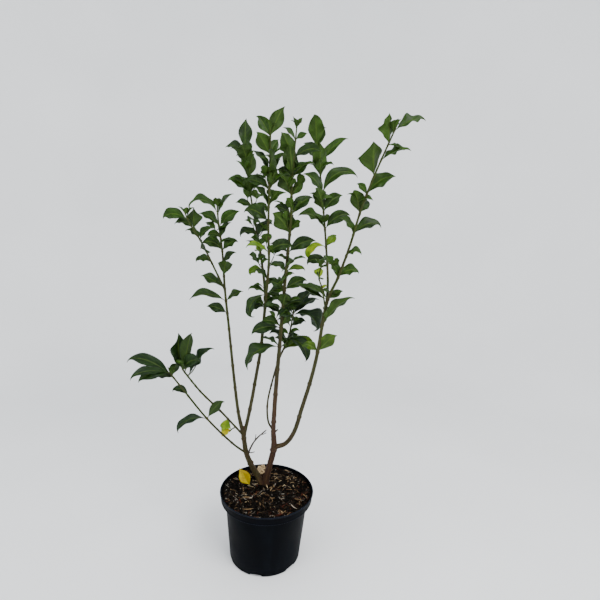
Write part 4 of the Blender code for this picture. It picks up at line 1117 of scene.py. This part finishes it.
def plastic_finish():
    """Thin blue-black nursery plastic, satin, with scuffs, watermarks and dust low down, and a painted
    highlight along the collar's bead and round the lip.
    """
    made = Finish("pot_plastic")
    here = made.place()
    streak = made.noise(made.scaled(here, (38, 38, 3)), 1.0, 4.0)
    cloud = made.noise(here, 14, 5.0, 0.6)
    scuff = made.noise(made.scaled(here, (60, 60, 260)), 1.0, 3.0, 0.7)
    height = made.parts(here)[2]
    low = made.span(height, 0.0, 0.07, 0.22, 0.0)
    dust = made.span(cloud, 0.42, 0.75) * made.span(streak, 0.35, 0.7)
    dust = made.math("ADD", dust * 0.22, low * cloud, clamp=True)
    shade = made.mix(dust, colour(1, 2, 5), colour(24, 30, 36))
    shade = made.mix(made.span(scuff, 0.66, 0.80, 0.0, 0.35), shade, colour(34, 42, 52))
    # Painted highlight: a thin paler blue-grey band along the collar's bead and round the lip, standing
    # in for the light they catch.
    below = made.span(height, POT_STEP - 0.0016, POT_STEP - 0.0004)
    above = made.span(height, POT_STEP + 0.0008, POT_STEP + 0.0020, 1.0, 0.0)
    bead = below * above * made.span(cloud, 0.3, 0.6)
    lip = made.span(height, POT_HEIGHT - 0.0016, POT_HEIGHT - 0.0004)
    painted_highlight = made.math("ADD", bead, lip, clamp=True)
    shade = made.mix(painted_highlight * 0.4, shade, colour(38, 45, 58))
    rough = made.span(cloud, 0.3, 0.7, 0.46, 0.58) + dust * 0.35
    made.set(Base_Color=shade, Roughness=rough, Specular_IOR_Level=0.03)
    made.bump(made.noise(here, 160, 3.0), 0.10, 0.0006)
    return made.material


def soil_finish():
    """Damp black peat."""
    made = Finish("peat")
    here = made.place()
    grain = made.noise(here, 260, 6.0, 0.7)
    clump = made.noise(here, 70)
    shade = made.ramp(grain, ((0.3, (3, 2, 1)), (0.55, (8, 6, 4)), (0.8, (24, 17, 12))))
    rough = made.span(clump, 0.3, 0.7, 0.72, 0.95)
    made.set(Base_Color=shade, Roughness=rough, Specular_IOR_Level=0.03)
    made.bump(grain + clump, 0.9, 0.0012)
    return made.material


def chip_finish():
    """Bark chips: each its own brown, tan or reddish tone, with a grain along it."""
    made = Finish("bark_chips")
    tone, warm, pale = made.parts(made.attribute("chip_tint"))
    grain = made.noise(made.scaled(made.attribute("chip_place"), (1.4, 0.16, 1.4)), 1.0, 4.0)
    wood = made.ramp(tone, (
        (0.0, (4, 3, 2)), (0.35, (13, 10, 7)), (0.6, (54, 43, 31)),
        (0.82, (128, 104, 74)), (1.0, (198, 178, 142)),
    ))
    wood = made.mix(warm, wood, colour(86, 40, 24))
    wood = made.mix(pale * 0.5, wood, colour(190, 184, 170))
    wood = made.mix(made.span(grain, 0.3, 0.55, 0.6, 0.0), wood, colour(12, 9, 6))
    rough = made.span(grain, 0.3, 0.7, 0.62, 0.9)
    made.set(Base_Color=wood, Roughness=rough, Specular_IOR_Level=0.06)
    made.bump(grain, 0.7, 0.0005)
    return made.material


# ---------------------------------------------------------------- pot and substrate

POT_HEIGHT = 0.171
RIM_RADIUS = 0.113
COLLAR_FOOT_RADIUS = 0.1105
COLLAR_DEPTH = 0.020
POT_STEP = POT_HEIGHT - COLLAR_DEPTH
BODY_TOP_RADIUS = 0.0993
BASE_RADIUS = 0.086
BASE_CHAMFER = 0.004
WALL = 0.0016
FLOOR = 0.0020
BEAD = 0.0013
POT_SIDES = 180
SHARP_ANGLE = 38
NOTCHES = 6
NOTCH_WIDTH = 0.030
NOTCH_HEIGHT = 0.007
NOTCH_DEPTH = 0.012
NOTCH_FACING = 257
# Corners of an arch, as shares of the notch's width and of twice its height
NOTCH_ARCH = (
    (-0.5, -0.5), (0.5, -0.5), (0.5, 0.22), (0.4, 0.42), (0, 0.5), (-0.4, 0.42), (-0.5, 0.22),
)
SOIL_LEVEL = 0.164
SOIL_SIDES = 220
SOIL_RINGS = 64
WOOD_FOOT = SOIL_LEVEL - 0.005
ROOT_FLARE = 0.007
STEMS_FOOT = (-0.012, 0.034)


def bend(middle, radius, first, last, steps=6):
    """Points of an arc of a profile, angles in degrees from outwards to upwards."""
    turns = [math.radians(first + (last - first) * i / steps) for i in range(steps + 1)]
    return [(middle[0] + radius * math.cos(t), middle[1] + radius * math.sin(t)) for t in turns]


def straight(start, end, steps):
    """Points between two points of a profile."""
    shares = [i / steps for i in range(1, steps)]
    return [tuple(a + (b - a) * share for a, b in zip(start, end)) for share in shares]


def turned(profile, sides):
    """Points and faces of a closed profile from the axis round to the axis, turned about it."""
    rings = profile[1:-1]
    angle = np.linspace(0, 2 * np.pi, sides, endpoint=False)
    points = [[(r * np.cos(a), r * np.sin(a), z) for a in angle] for r, z in rings]
    points = np.array(points).reshape(-1, 3)
    faces = ring_faces(len(rings), sides)[:-2]
    foot, top = len(points), len(points) + 1
    points = np.vstack([points, [(0, 0, profile[0][1]), (0, 0, profile[-1][1])]])
    last = (len(rings) - 1) * sides
    for i in range(sides):
        j = (i + 1) % sides
        faces.append([foot, j, i])
        faces.append([top, last + i, last + j])
    return points, faces


def drainage_cutter():
    """Arched blocks set through the wall at the foot."""
    mesh = bmesh.new()
    for index in range(NOTCHES):
        turn = Matrix.Rotation(math.radians(NOTCH_FACING + 360 * index / NOTCHES), 4, "Z")
        ends = []
        for out in (BASE_RADIUS - NOTCH_DEPTH, BASE_RADIUS + NOTCH_DEPTH):
            corners = [Vector((out, y * NOTCH_WIDTH, 2 * z * NOTCH_HEIGHT)) for y, z in NOTCH_ARCH]
            ends.append([mesh.verts.new(turn @ corner) for corner in corners])
        for i in range(len(NOTCH_ARCH)):
            j = (i + 1) % len(NOTCH_ARCH)
            mesh.faces.new((ends[0][i], ends[0][j], ends[1][j], ends[1][i]))
        mesh.faces.new(ends[0])
        mesh.faces.new(ends[1])
    bmesh.ops.recalc_face_normals(mesh, faces=mesh.faces)
    data = bpy.data.meshes.new("drainage_cutter")
    mesh.to_mesh(data)
    mesh.free()
    return linked("drainage_cutter", data)


def pot_profile():
    """The pot's section, from the axis under the floor round to the axis above it."""
    slope = (RIM_RADIUS - COLLAR_FOOT_RADIUS) / COLLAR_DEPTH
    groove = POT_STEP - 0.003

    def body(height):
        return BASE_RADIUS + (BODY_TOP_RADIUS - BASE_RADIUS) * height / POT_STEP

    profile = [(0, 0.0012), (0.030, 0.0012), (0.034, 0), (0.060, 0), (BASE_RADIUS - BASE_CHAMFER, 0)]
    profile += bend((BASE_RADIUS - BASE_CHAMFER, BASE_CHAMFER), BASE_CHAMFER, -75, 0)
    profile += straight((BASE_RADIUS, BASE_CHAMFER), (body(groove), groove), 26)
    profile += [(body(groove), groove), (body(POT_STEP) + 0.0004, POT_STEP - 0.0010)]
    profile += [(body(POT_STEP) + 0.0015, POT_STEP), (COLLAR_FOOT_RADIUS - 0.0012, POT_STEP)]
    profile += bend((COLLAR_FOOT_RADIUS - 0.0010, POT_STEP + 0.0010), 0.0010, -70, 0, 4)
    profile += [(COLLAR_FOOT_RADIUS + 0.0001, POT_STEP + 0.0022)]
    collar = (COLLAR_FOOT_RADIUS - 0.0003, POT_STEP + 0.0034)
    lip = (RIM_RADIUS - BEAD, POT_HEIGHT - 2.6 * BEAD)
    profile += [collar] + straight(collar, lip, 6) + [lip]
    profile += bend((RIM_RADIUS - BEAD, POT_HEIGHT - BEAD), BEAD, -60, 190, 12)
    profile += [(RIM_RADIUS - 2 * BEAD - slope * 0.004, POT_HEIGHT - 0.005)]
    inner = COLLAR_FOOT_RADIUS - WALL
    profile += [(inner, POT_STEP + WALL + 0.001), (inner - 0.001, POT_STEP + WALL)]
    profile += [(BODY_TOP_RADIUS - WALL, POT_STEP + WALL), (BODY_TOP_RADIUS - WALL, POT_STEP)]
    profile += [(BASE_RADIUS - WALL, BASE_CHAMFER), (BASE_RADIUS - BASE_CHAMFER, FLOOR), (0, FLOOR)]
    return profile


def make_pot(finish):
    """The pot: thin tapering wall with a sunk groove, deep collar, rolled lip, drainage openings."""
    points, faces = turned(pot_profile(), POT_SIDES)
    angle = np.arctan2(points[:, 1], points[:, 0])
    waves = 0.0004 * np.sin(2 * angle + 0.6) + 0.0002 * np.sin(5 * angle) * np.sin(points[:, 2] * 60)
    grow = 1 + waves / 0.1 * (np.hypot(points[:, 0], points[:, 1]) > 0.07)
    points[:, :2] *= grow[:, None]
    data = bpy.data.meshes.new("nursery_pot")
    data.from_pydata(points.tolist(), [], faces)
    data.validate()
    pot = linked("nursery_pot", data)
    cutter = drainage_cutter()
    cut = pot.modifiers.new("drainage", "BOOLEAN")
    cut.operation = "DIFFERENCE"
    cut.object = cutter
    graph = bpy.context.evaluated_depsgraph_get()
    whole = bpy.data.meshes.new_from_object(pot.evaluated_get(graph))
    pot.modifiers.clear()
    pot.data = whole
    bpy.data.objects.remove(cutter)
    whole.materials.clear()
    whole.materials.append(finish)
    whole.shade_smooth()
    whole.set_sharp_from_angle(angle=math.radians(SHARP_ANGLE))
    return pot


def soil_height(points):
    """The substrate's uneven top: low mounds, clods, and a slight rise round the stems."""
    flat = np.column_stack([points[:, 0], points[:, 1], np.zeros(len(points))])
    mound = 0.0030 * (noise(flat * 28 + 4) - 0.5) + 0.0034 * (noise(flat * 110 + 9) - 0.5)
    clod = 0.0022 * (noise(flat * 320 + 17) - 0.5)
    square = ((points[:, :2] - STEMS_FOOT) ** 2).sum(1)
    rise = 0.002 * np.exp(-(square / 0.035 ** 2))
    return SOIL_LEVEL - 0.0006 + mound + clod + rise


def make_soil(finish):
    """The bed of peat that fills the pot, with an uneven top."""
    ledge = POT_STEP + WALL + 0.0003
    inside = COLLAR_FOOT_RADIUS - WALL - 0.0006
    profile = [(0, 0.0023), (BASE_RADIUS - 0.0055, 0.0023), (BASE_RADIUS - WALL - 0.0012, 0.0055)]
    profile += [(BODY_TOP_RADIUS - WALL - 0.0010, ledge), (inside, ledge), (inside, SOIL_LEVEL - 0.003)]
    profile += [(inside * (1 - i / SOIL_RINGS), SOIL_LEVEL) for i in range(SOIL_RINGS)]
    profile += [(0, SOIL_LEVEL)]
    points, faces = turned(profile, SOIL_SIDES)
    high = points[:, 2] > SOIL_LEVEL - 0.001
    points[high, 2] = soil_height(points[high])
    bundle = Bundle()
    bundle.add(points, faces)
    return bundle.make("peat_bed", finish)


# The furthest that a chip's middle lies from the pot's axis, less a share of the chip's length
CHIP_REACH = 0.106
CHIP_INSIDE = 0.30
CHIP_SEED = 77
STEMS_CLEAR = 0.010
# Rings of (share of the chip's length, share of its thickness)
CHIP_RINGS = ((0, 0.35), (0.18, 0.85), (0.5, 1.0), (0.8, 0.8), (1, 0.25))
CHIP_CORNERS = ((-1, -1), (1, -1), (1, 1), (-1, 1))
# Count, spans of length, width and thickness in millimetres, and how light the chips run
CHIP_KINDS = (
    (100, (11, 25), (1.6, 3.8), (0.8, 1.8), 0.85),
    (300, (7, 17), (0.8, 1.7), (0.6, 1.1), 1.0),
    (26, (18, 34), (0.5, 0.9), (0.4, 0.7), 1.2),
    (550, (5, 12), (1.0, 2.8), (0.7, 1.6), 0.75),
    (1700, (2, 6), (0.9, 2.6), (0.7, 1.8), 0.40),
)


def chip_spot(chance, length):
    """A spot for a chip's middle, clear of the stems and of the pot's wall."""
    while True:
        x, y = (chance.uniform(-CHIP_REACH, CHIP_REACH) for _ in range(2))
        clear = math.dist((x, y), STEMS_FOOT) > STEMS_CLEAR
        if clear and math.hypot(x, y) < CHIP_REACH - length * CHIP_INSIDE:
            return x, y


def add_chip(bundle, chance, length, wide, thick, look):
    """A splintered chip lying on the substrate: a bent bar of five rings with ragged sides."""
    x, y = chip_spot(chance, length)
    turn = chance.uniform(0, 2 * math.pi)
    if CHIP_REACH + 0.0015 - math.hypot(x, y) < length / 2:
        turn = math.atan2(y, x) + math.pi / 2 + chance.uniform(-0.3, 0.3)
    tilt = math.radians(chance.uniform(-22, 22)) * min(1.0, 0.012 / length)
    roll = Matrix.Rotation(chance.uniform(-0.7, 0.7), 3, "X")
    aim = Matrix.Rotation(turn, 3, "Z") @ Matrix.Rotation(tilt, 3, "Y") @ roll
    arch = chance.uniform(-0.12, 0.12) * length
    local = []
    for share, girth in CHIP_RINGS:
        bow = arch * (1 - (2 * share - 1) ** 2)
        for aside, above in CHIP_CORNERS:
            local.append((
                (share - 0.5) * length + chance.uniform(-0.05, 0.05) * length,
                bow + aside * wide / 2 * girth * chance.uniform(0.7, 1.25),
                above * thick / 2 * girth * chance.uniform(0.6, 1.3),
            ))
    local = np.array(local)
    points = local @ np.array(aim).T
    ground = soil_height(np.array([(x, y, 0.0)]))[0]
    points += (x, y, ground - points[:, 2].min() - thick * 0.25 + chance.uniform(0, 0.0016))
    span = np.hypot(points[:, 0], points[:, 1])
    points[:, :2] *= np.minimum(1, (CHIP_REACH + 0.0018) / np.maximum(span, 1e-6))[:, None]
    faces = ring_faces(len(CHIP_RINGS), len(CHIP_CORNERS))
    tint = np.tile(look, (len(points), 1))
    bundle.add(points, faces, chip_tint=tint, chip_place=local[:, [1, 0, 2]] * 1000)


def make_chips(finish):
    """The loose bark chips on the substrate."""
    chance = random.Random(CHIP_SEED)
    bundle = Bundle()
    for count, *spans, light in CHIP_KINDS:
        for _ in range(count):
            tone = min(1.0, chance.random() ** 1.9 * light + chance.uniform(0, 0.12))
            warm = chance.uniform(0.2, 0.7) if chance.random() < 0.08 else 0.0
            pale = chance.uniform(0.4, 1.0) if chance.random() < 0.05 else 0.0
            length, wide, thick = (chance.uniform(*span) * MILLIMETRE for span in spans)
            add_chip(bundle, chance, length, wide, thick, (tone, warm, pale))
    return bundle.make("bark_chips", finish)


# ---------------------------------------------------------------- the fallen leaf

FALLEN_LEAF_LENGTH = 0.054
FALLEN_LEAF_RISE = 8
FALLEN_LEAF_CURL = 22
FALLEN_LEAF_BROAD = 1.15
FALLEN_LEAF_HABIT = Habit(0.12, 2.0, (0.5, 3.0), 6, 4, 0.08, 20)
FALLEN_LEAF_FOOT = (-0.041, 0.017, 0.163)
FALLEN_LEAF_RIB = (-0.036, 0.004, 0.058)
FALLEN_LEAF_FACE = (0.15, -0.95, 0.20)
FALLEN_LEAF_LIFT = 0.005


def make_fallen_leaf(finish):
    """The yellow leaf that stands on its edge in the substrate, its face to the viewer."""
    pose = Pose(
        Vector((0, 0, 0)), heading_at(0), FALLEN_LEAF_RISE, FALLEN_LEAF_CURL, 0, FALLEN_LEAF_LENGTH,
    )
    points, faces, place = leaf_body(pose, FALLEN_LEAF_HABIT, broad=FALLEN_LEAF_BROAD)
    rib = Vector(FALLEN_LEAF_RIB).normalized()
    side = Vector(FALLEN_LEAF_FACE).cross(rib).normalized()
    turn = np.array(Matrix((rib, side, rib.cross(side))))
    points = points @ turn + np.array(FALLEN_LEAF_FOOT)
    points[:, 2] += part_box("fallen_leaf")[0].z + FALLEN_LEAF_LIFT - points[:, 2].min()
    bundle = Bundle()
    tint = np.tile((0.5, 1.0, 0.0), (len(points), 1))
    bundle.add(points, faces, leaf_place=place, leaf_tint=tint)
    return bundle.make("fallen_yellow_leaf", finish)


# ---------------------------------------------------------------- dressing the plant

BUD_CHANCE = 0.9
SPURRED_SHARE = 0.9
LIGHT_FROM = Vector((0.15, -0.85, 0.50))
FACE_AT = 0.4
MOST_ROLL = 68
ROLL_SHARE = 0.88
FRONT_LIFT = 10
FRONT_CALM = 0.35
SPUR_TINT = (0.7, 0.0, 0.0)


def leaf_tint(spray, key, share, chance):
    """(shade, yellow, old) of one leaf: older and deeper low on the shoot, fresher at its tip."""
    shade = spray.shade + 0.25 * (share - 0.5) + chance.uniform(-0.22, 0.22)
    old = spray.old + 0.35 * max(0.0, 0.4 - share) + chance.uniform(-0.08, 0.08)
    return max(0.0, min(1.0, shade)), spray.yellow.get(key, 0.0), max(0.0, min(1.0, old))


def stand_out(base, leaf):
    """The pose of a leaf (length in millimetres, heading, rise, curl) from a point on its shoot."""
    length, aim, rise, curl = leaf
    return Pose(base, heading_at(aim), rise, curl, 0, length / 1000)


def to_light(pose):
    """The pose with one face rolled towards the light, and straighter on a leaf at the front."""
    ahead = abs(pose.heading.y)
    rise = pose.rise + FRONT_LIFT * ahead
    curl = pose.curl * (1 - FRONT_CALM * ahead)
    along = raised(pose.heading, rise - curl * FACE_AT ** DROOP_POWER)
    side = UPWARDS.cross(pose.heading)
    wanted = math.degrees(math.atan2(-LIGHT_FROM.dot(side), LIGHT_FROM.dot(along.cross(side))))
    if abs(wanted) > 90:
        wanted -= math.copysign(180, wanted)
    wanted = max(-MOST_ROLL, min(MOST_ROLL, wanted))
    roll = pose.roll - LIGHT_ROLL * pose.heading.x + ROLL_SHARE * wanted
    return Pose(pose.base, pose.heading, rise, curl, roll, pose.length)


def dress_spray(spray, finish, buds, wood):
    """The leaves of one spray, its axillary buds, its short spurs and the ends of its shoots."""
    chance = random.Random(sum(ord(letter) for letter in spray.name))
    leaves = Bundle()
    for shoot, (stem, foliage) in enumerate(spray.shoots):
        poses = leaf_poses(stem, foliage)
        distances = list(pair_distances(foliage))
        for pair, side in np.ndindex(foliage.pairs, 2):
            key = (shoot, pair, side)
            share = pair / max(foliage.pairs - 1, 1)
            tint = leaf_tint(spray, key, share, chance)
            ways = habit(chance)
            pose = poses.get((pair, side))
            if not pose:
                continue
            turn = spray.turned.get(key, (0, 0, 0))
            if turn != ABSENT:
                pose = nudged(pose, *turn)
                if key in spray.held:
                    pose = stand_out(pose.base, spray.held[key])
                add_leaf(leaves, to_light(pose), ways, tint, broad=spray.broad.get(key, 1.0))
            if foliage.pairs == 1:
                continue
            first = raised(pose.heading, pose.rise)
            at = distances[pair]
            base = stem.point(at + BUD_OVER_LEAF) + first * (stem.radius(at) * 0.75)
            if chance.random() < BUD_CHANCE:
                length, radius = chance.uniform(0.0022, 0.0038), chance.uniform(0.0007, 0.0010)
                add_bud(buds, base, first * 0.55 + UPWARDS, length, radius)
            heading = math.degrees(math.atan2(first.y, first.x))
            if chance.random() < spray.spurs and share < SPURRED_SHARE:
                add_spur(leaves, wood, stem, at, heading, chance, SPUR_TINT)
        for number, pair, leaf in spray.more:
            if number == shoot:
                pose = stand_out(stem.point(distances[pair]), leaf)
                add_leaf(leaves, to_light(pose), habit(chance), (spray.shade, 0.0, spray.old))
        if foliage.pairs > 1:
            add_tip(leaves, buds, stem, chance, (min(1.0, spray.shade + 0.1), 0.0, 0.0))
    return leaves.make(spray.name.replace("_spray", "") + "_leaves", finish)


class Limb(NamedTuple):
    """A piece of wood: its stem with ages from foot to tip, its slot and the nodes it replaces.

    Sides are the shoots and stubs that grow on from it: (stem, rule or None, ages, blunt).
    """

    name: str
    stem: Stem
    foliage: Foliage
    ages: tuple
    slot: str
    nodes: tuple
    sides: tuple = ()
    flare: float = 0.0


GREEN_SHOOT = ((0, 0.22), (0.5, 0.10), (1, 0.0))
LIMBS = (
    Limb(
        "left_stem_wood", LEFT, LEFT_LEAVES,
        ((0, 0.85), (0.05, 0.62), (0.22, 0.48), (0.45, 0.30), (1, 0.0)),
        "olive_bark", ("left_stem", "left_bough"),
        (
            (LEFT_SIDE, LEFT_SIDE_LEAVES, GREEN_SHOOT, False),
            (LEFT_STUB, None, ((0, 0.8), (1, 0.9)), True),
        ),
        ROOT_FLARE,
    ),
    Limb(
        "right_stem_wood", RIGHT, CENTRE_LEAVES,
        ((0, 1.0), (0.20, 0.98), (0.30, 0.72), (0.42, 0.42), (0.6, 0.22), (1, 0.0)),
        "brown_bark", ("right_stem",), ((RIGHT_STUB, None, ((0, 0.9), (1, 0.9)), True),), ROOT_FLARE,
    ),
    Limb(
        "middle_bough_wood", MIDDLE, MIDDLE_LEAVES, ((0, 0.48), (0.35, 0.30), (1, 0.0)),
        "olive_bark", ("middle_bough",), ((MIDDLE_LEFT, MIDDLE_LEFT_LEAVES, GREEN_SHOOT, False),),
    ),
    Limb(
        "right_bough_wood", RIGHT_BOUGH, RIGHT_LEAVES,
        ((0, 0.75), (0.12, 0.50), (0.35, 0.30), (1, 0.0)),
        "olive_bark", ("right_bough_elbow", "right_bough"),
        (
            (RIGHT_INNER, RIGHT_INNER_LEAVES, GREEN_SHOOT, False),
            (RIGHT_TWIG, RIGHT_TWIG_LEAVES, GREEN_SHOOT, False),
        ),
    ),
    Limb(
        "thin_twig_wood", THIN_SIDE, THIN_SIDE_LEAVES, ((0, 0.55), (0.5, 0.35), (1, 0.1)),
        "olive_bark", ("thin_side_twig",),
    ),
    Limb(
        "low_upper_wood", LOW_UPPER, LOW_UPPER_LEAVES, ((0, 0.40), (0.5, 0.25), (1, 0.05)),
        "green_bark", ("low_left_upper_bough",), ((LOW_SPUR, None, GREEN_SHOOT, False),),
    ),
    Limb(
        "low_lower_wood", LOW_LOWER, LOW_LOWER_LEAVES, ((0, 0.40), (0.5, 0.22), (1, 0.05)),
        "green_bark", ("low_left_lower_bough",),
    ),
)
LEAF_SLOTS = {
    "inner_right_spray": "old_leaf", "low_left_upper_spray": "old_leaf",
    "low_left_lower_spray": "old_leaf", "low_left_spur": "yellow_green_leaf",
}
OLD_WOOD = ((0, 1), (1, 1))


def older_nodes(foliage, low):
    """Where leaves once stood below the first pair, further apart down the stem."""
    found = []
    gap = foliage.gaps[0] * 1.25
    distance = foliage.first - gap
    while distance > low:
        found.append(distance)
        gap *= 1.12
        distance -= gap
    return found


def dress_limb(limb, finish):
    """One stem from its carrier to its tip, with the shoots and stubs that grow on from it."""
    bundle = Bundle()
    start = limb.stem.distance_at(WOOD_FOOT) if limb.flare else 0.0
    marks = list(pair_distances(limb.foliage)) + older_nodes(limb.foliage, start + 0.06)
    collar = 0.0 if limb.flare else 0.35
    add_wood(bundle, limb.stem, start, limb.ages, marks, limb.flare, collar)
    for stem, foliage, ages, blunt in limb.sides:
        marks = list(pair_distances(foliage)) if foliage else []
        add_wood(bundle, stem, 0.0, ages, marks, collar=0.3, blunt=blunt)
    return bundle.make(limb.name, finish)


def settle(piece, slot, *nodes):
    """Fixes a piece to the plant's one body and hides the solids it stands for. The slot is not used."""
    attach(piece, "root")
    if nodes:
        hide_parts(*nodes)


STUMP_SLANT = 0.75
STUMP_SLANT_DEPTH = 0.022
STUMP_SIDES = 48
STUMP_RAGGED = 0.0080
# Rings of the cut face: (share of the radius, height over the cut)
STUMP_FACE = (
    (0.90, -0.0010), (0.96, 0.0004), (0.85, 0.0010), (0.68, 0.0006), (0.5, 0.0010), (0.32, 0.0005),
    (0.15, 0.0009), (0.03, 0.0006),
)


def slanted(points, top):
    """Points of the stump sheared so that its cut faces the viewer."""
    weight = np.clip((points[:, 2] - (top.z - STUMP_SLANT_DEPTH)) / STUMP_SLANT_DEPTH, 0, 1)
    points[:, 2] += weight * STUMP_SLANT * (points[:, 1] - top.y)
    return points


def make_stump(bark, cut):
    """The old stump between the stems, sawn off aslant and weathered."""
    wood, face = Bundle(), Bundle()
    start = STUMP.distance_at(WOOD_FOOT)
    add_wood(wood, STUMP, start, OLD_WOOD, flare=ROOT_FLARE / 2, blunt=True)
    centre, across, over = STUMP.frame(STUMP.length)
    wood.points[0] = slanted(wood.points[0], centre)
    along = across.cross(over)
    points = []
    for share, height in STUMP_FACE:
        radius = STUMP.radius(STUMP.length) * share
        for i in range(STUMP_SIDES):
            angle = 2 * math.pi * i / STUMP_SIDES
            out = across * math.cos(angle) + over * math.sin(angle)
            points.append(tuple(centre + out * radius + along * height))
    points = np.array(points)
    local = (points - np.array(centre)) * 1000
    ragged = (noise(local * 0.5 + 5) - 0.5) * STUMP_RAGGED * (np.arange(len(points)) >= STUMP_SIDES)
    points += ragged[:, None] * np.array(along)
    place = local @ np.array((across, over, along)).T
    looks = np.zeros((len(points), 3))
    faces = ring_faces(len(STUMP_FACE), STUMP_SIDES)
    face.add(slanted(points, centre), faces, bark_place=place, bark_look=looks)
    settle(wood.make("old_stump_wood", bark), "brown_bark", "root_crown")
    settle(face.make("old_stump_face", cut), "dry_wood")


# Share along the twig, the fork's run out from it, and its thickness in millimetres
DEAD_FORKS = (
    (0.10, (0.015, 0.000, 0.003), 0.7),
    (0.55, (0.002, -0.004, 0.018), 0.6),
    (0.78, (0.014, 0.004, 0.004), 0.5),
)
FORK_SAG = Vector((0, 0, -0.001))


def make_dead_twig(finish):
    """The dry leafless twig with its broken forks."""
    bundle = Bundle()
    add_wood(bundle, DRY_TWIG, 0.0, OLD_WOOD, collar=0.5)
    for share, run, girth in DEAD_FORKS:
        base = DRY_TWIG.point(DRY_TWIG.length * share)
        middle = base + Vector(run) * 0.55 + FORK_SAG
        fork = Stem((base, middle, base + Vector(run)), (girth * 1.2, girth, girth * 0.6))
        add_wood(bundle, fork, 0.0, OLD_WOOD, collar=0.3)
    settle(bundle.make("dead_twig_wood", finish), "dry_wood", "dead_twig")


def make_plant():
    """Every piece of the plant and its pot."""
    leaf, bark, dry = leaf_finish(), bark_finish(), dry_finish()
    settle(make_pot(plastic_finish()), "pot", "pot")
    settle(make_soil(soil_finish()), "substrate", "substrate")
    settle(make_chips(chip_finish()), "substrate")
    settle(make_fallen_leaf(leaf), "yellow_leaf", "fallen_leaf")
    make_stump(bark, cut_finish())
    make_dead_twig(dry)
    buds, spur_wood = Bundle(), Bundle()
    for spray in SPRAYS:
        piece = dress_spray(spray, leaf, buds, spur_wood)
        settle(piece, LEAF_SLOTS.get(spray.name, "leaf"), spray.name)
    for limb in LIMBS:
        settle(dress_limb(limb, bark), limb.slot, *limb.nodes)
    settle(buds.make("buds", bark), "green_bark")
    settle(spur_wood.make("spur_wood", bark), "green_bark")


# ---------------------------------------------------------------- studio

EYE = (0.0, -0.986, 0.808)
YAW = 3.44
PITCH = 9.59
ROLL = 2.68
LENS = 26.4
SENSOR = 36.0
ROOM_SIDES = 96
# Name, place, target, width, height, power and tint of each lamp
LAMPS = (
    ("key", (0.9, -1.2, 2.1), (0.0, 0.0, 0.45), 1.2, 1.0, 48, (1.0, 0.99, 0.97)),
    ("fill", (-1.3, -1.1, 1.4), (0.0, 0.0, 0.4), 1.2, 1.2, 14, (0.97, 0.98, 1.0)),
)
SKY = (0.93, 0.96, 1.0, 1)
SKY_STRENGTH = 1.35


def make_camera():
    """The viewpoint of the picture: a little above the plant's middle, looking slightly down."""
    yaw, pitch, roll = (math.radians(angle) for angle in (YAW, PITCH, ROLL))
    ahead = Vector((
        math.sin(yaw) * math.cos(pitch), math.cos(yaw) * math.cos(pitch), -math.sin(pitch),
    ))
    level = Vector((math.cos(yaw), -math.sin(yaw), 0))
    above = level.cross(ahead)
    right = level * math.cos(roll) + above * math.sin(roll)
    up = above * math.cos(roll) - level * math.sin(roll)
    data = bpy.data.cameras.new("viewpoint")
    data.lens = LENS
    data.sensor_width = SENSOR
    camera = linked("viewpoint", data)
    camera.matrix_world = Matrix.Translation(EYE) @ Matrix((right, up, -ahead)).transposed().to_4x4()
    bpy.context.scene.camera = camera


def make_room():
    """A pale round floor whose edge curves up into a wall all round."""
    profile = [(0.6, 0.0), (1.2, 0.0), *bend((1.45, 0.75), 0.75, -90, 0, 14), (2.2, 2.6)]
    angles = [2 * math.pi * i / ROOM_SIDES for i in range(ROOM_SIDES)]
    points = [(r * math.cos(a), r * math.sin(a), z) for r, z in profile for a in angles]
    faces = ring_faces(len(profile), ROOM_SIDES)[:-2]
    faces.append(list(range(ROOM_SIDES - 1, -1, -1)))
    data = bpy.data.meshes.new("room")
    data.from_pydata(points, [], faces)
    data.shade_smooth()
    made = Finish("pale_matt")
    tone = made.noise(made.place(), 1.6, 2.0)
    shade = made.ramp(tone, ((0.3, (232, 233, 234)), (0.7, (238, 239, 240))))
    made.set(Base_Color=shade, Roughness=0.9)
    data.materials.append(made.material)
    linked("room", data)


def make_lamp(name, place, target, width, height, power, tint):
    """A soft rectangular lamp that faces a target."""
    data = bpy.data.lights.new(name, "AREA")
    data.shape = "RECTANGLE"
    data.size = width
    data.size_y = height
    data.energy = power
    data.color = tint
    light = linked(name, data)
    light.location = place
    light.rotation_euler = (Vector(target) - Vector(place)).to_track_quat("-Z", "Y").to_euler()


def make_studio():
    """The camera, the room, the lamps and the pale sky."""
    make_camera()
    make_room()
    for lamp in LAMPS:
        make_lamp(*lamp)
    world = bpy.data.worlds.new("pale")
    world.use_nodes = True
    backdrop = world.node_tree.nodes["Background"]
    backdrop.inputs[0].default_value = SKY
    backdrop.inputs[1].default_value = SKY_STRENGTH
    bpy.context.scene.world = world


make_plant()
make_studio()
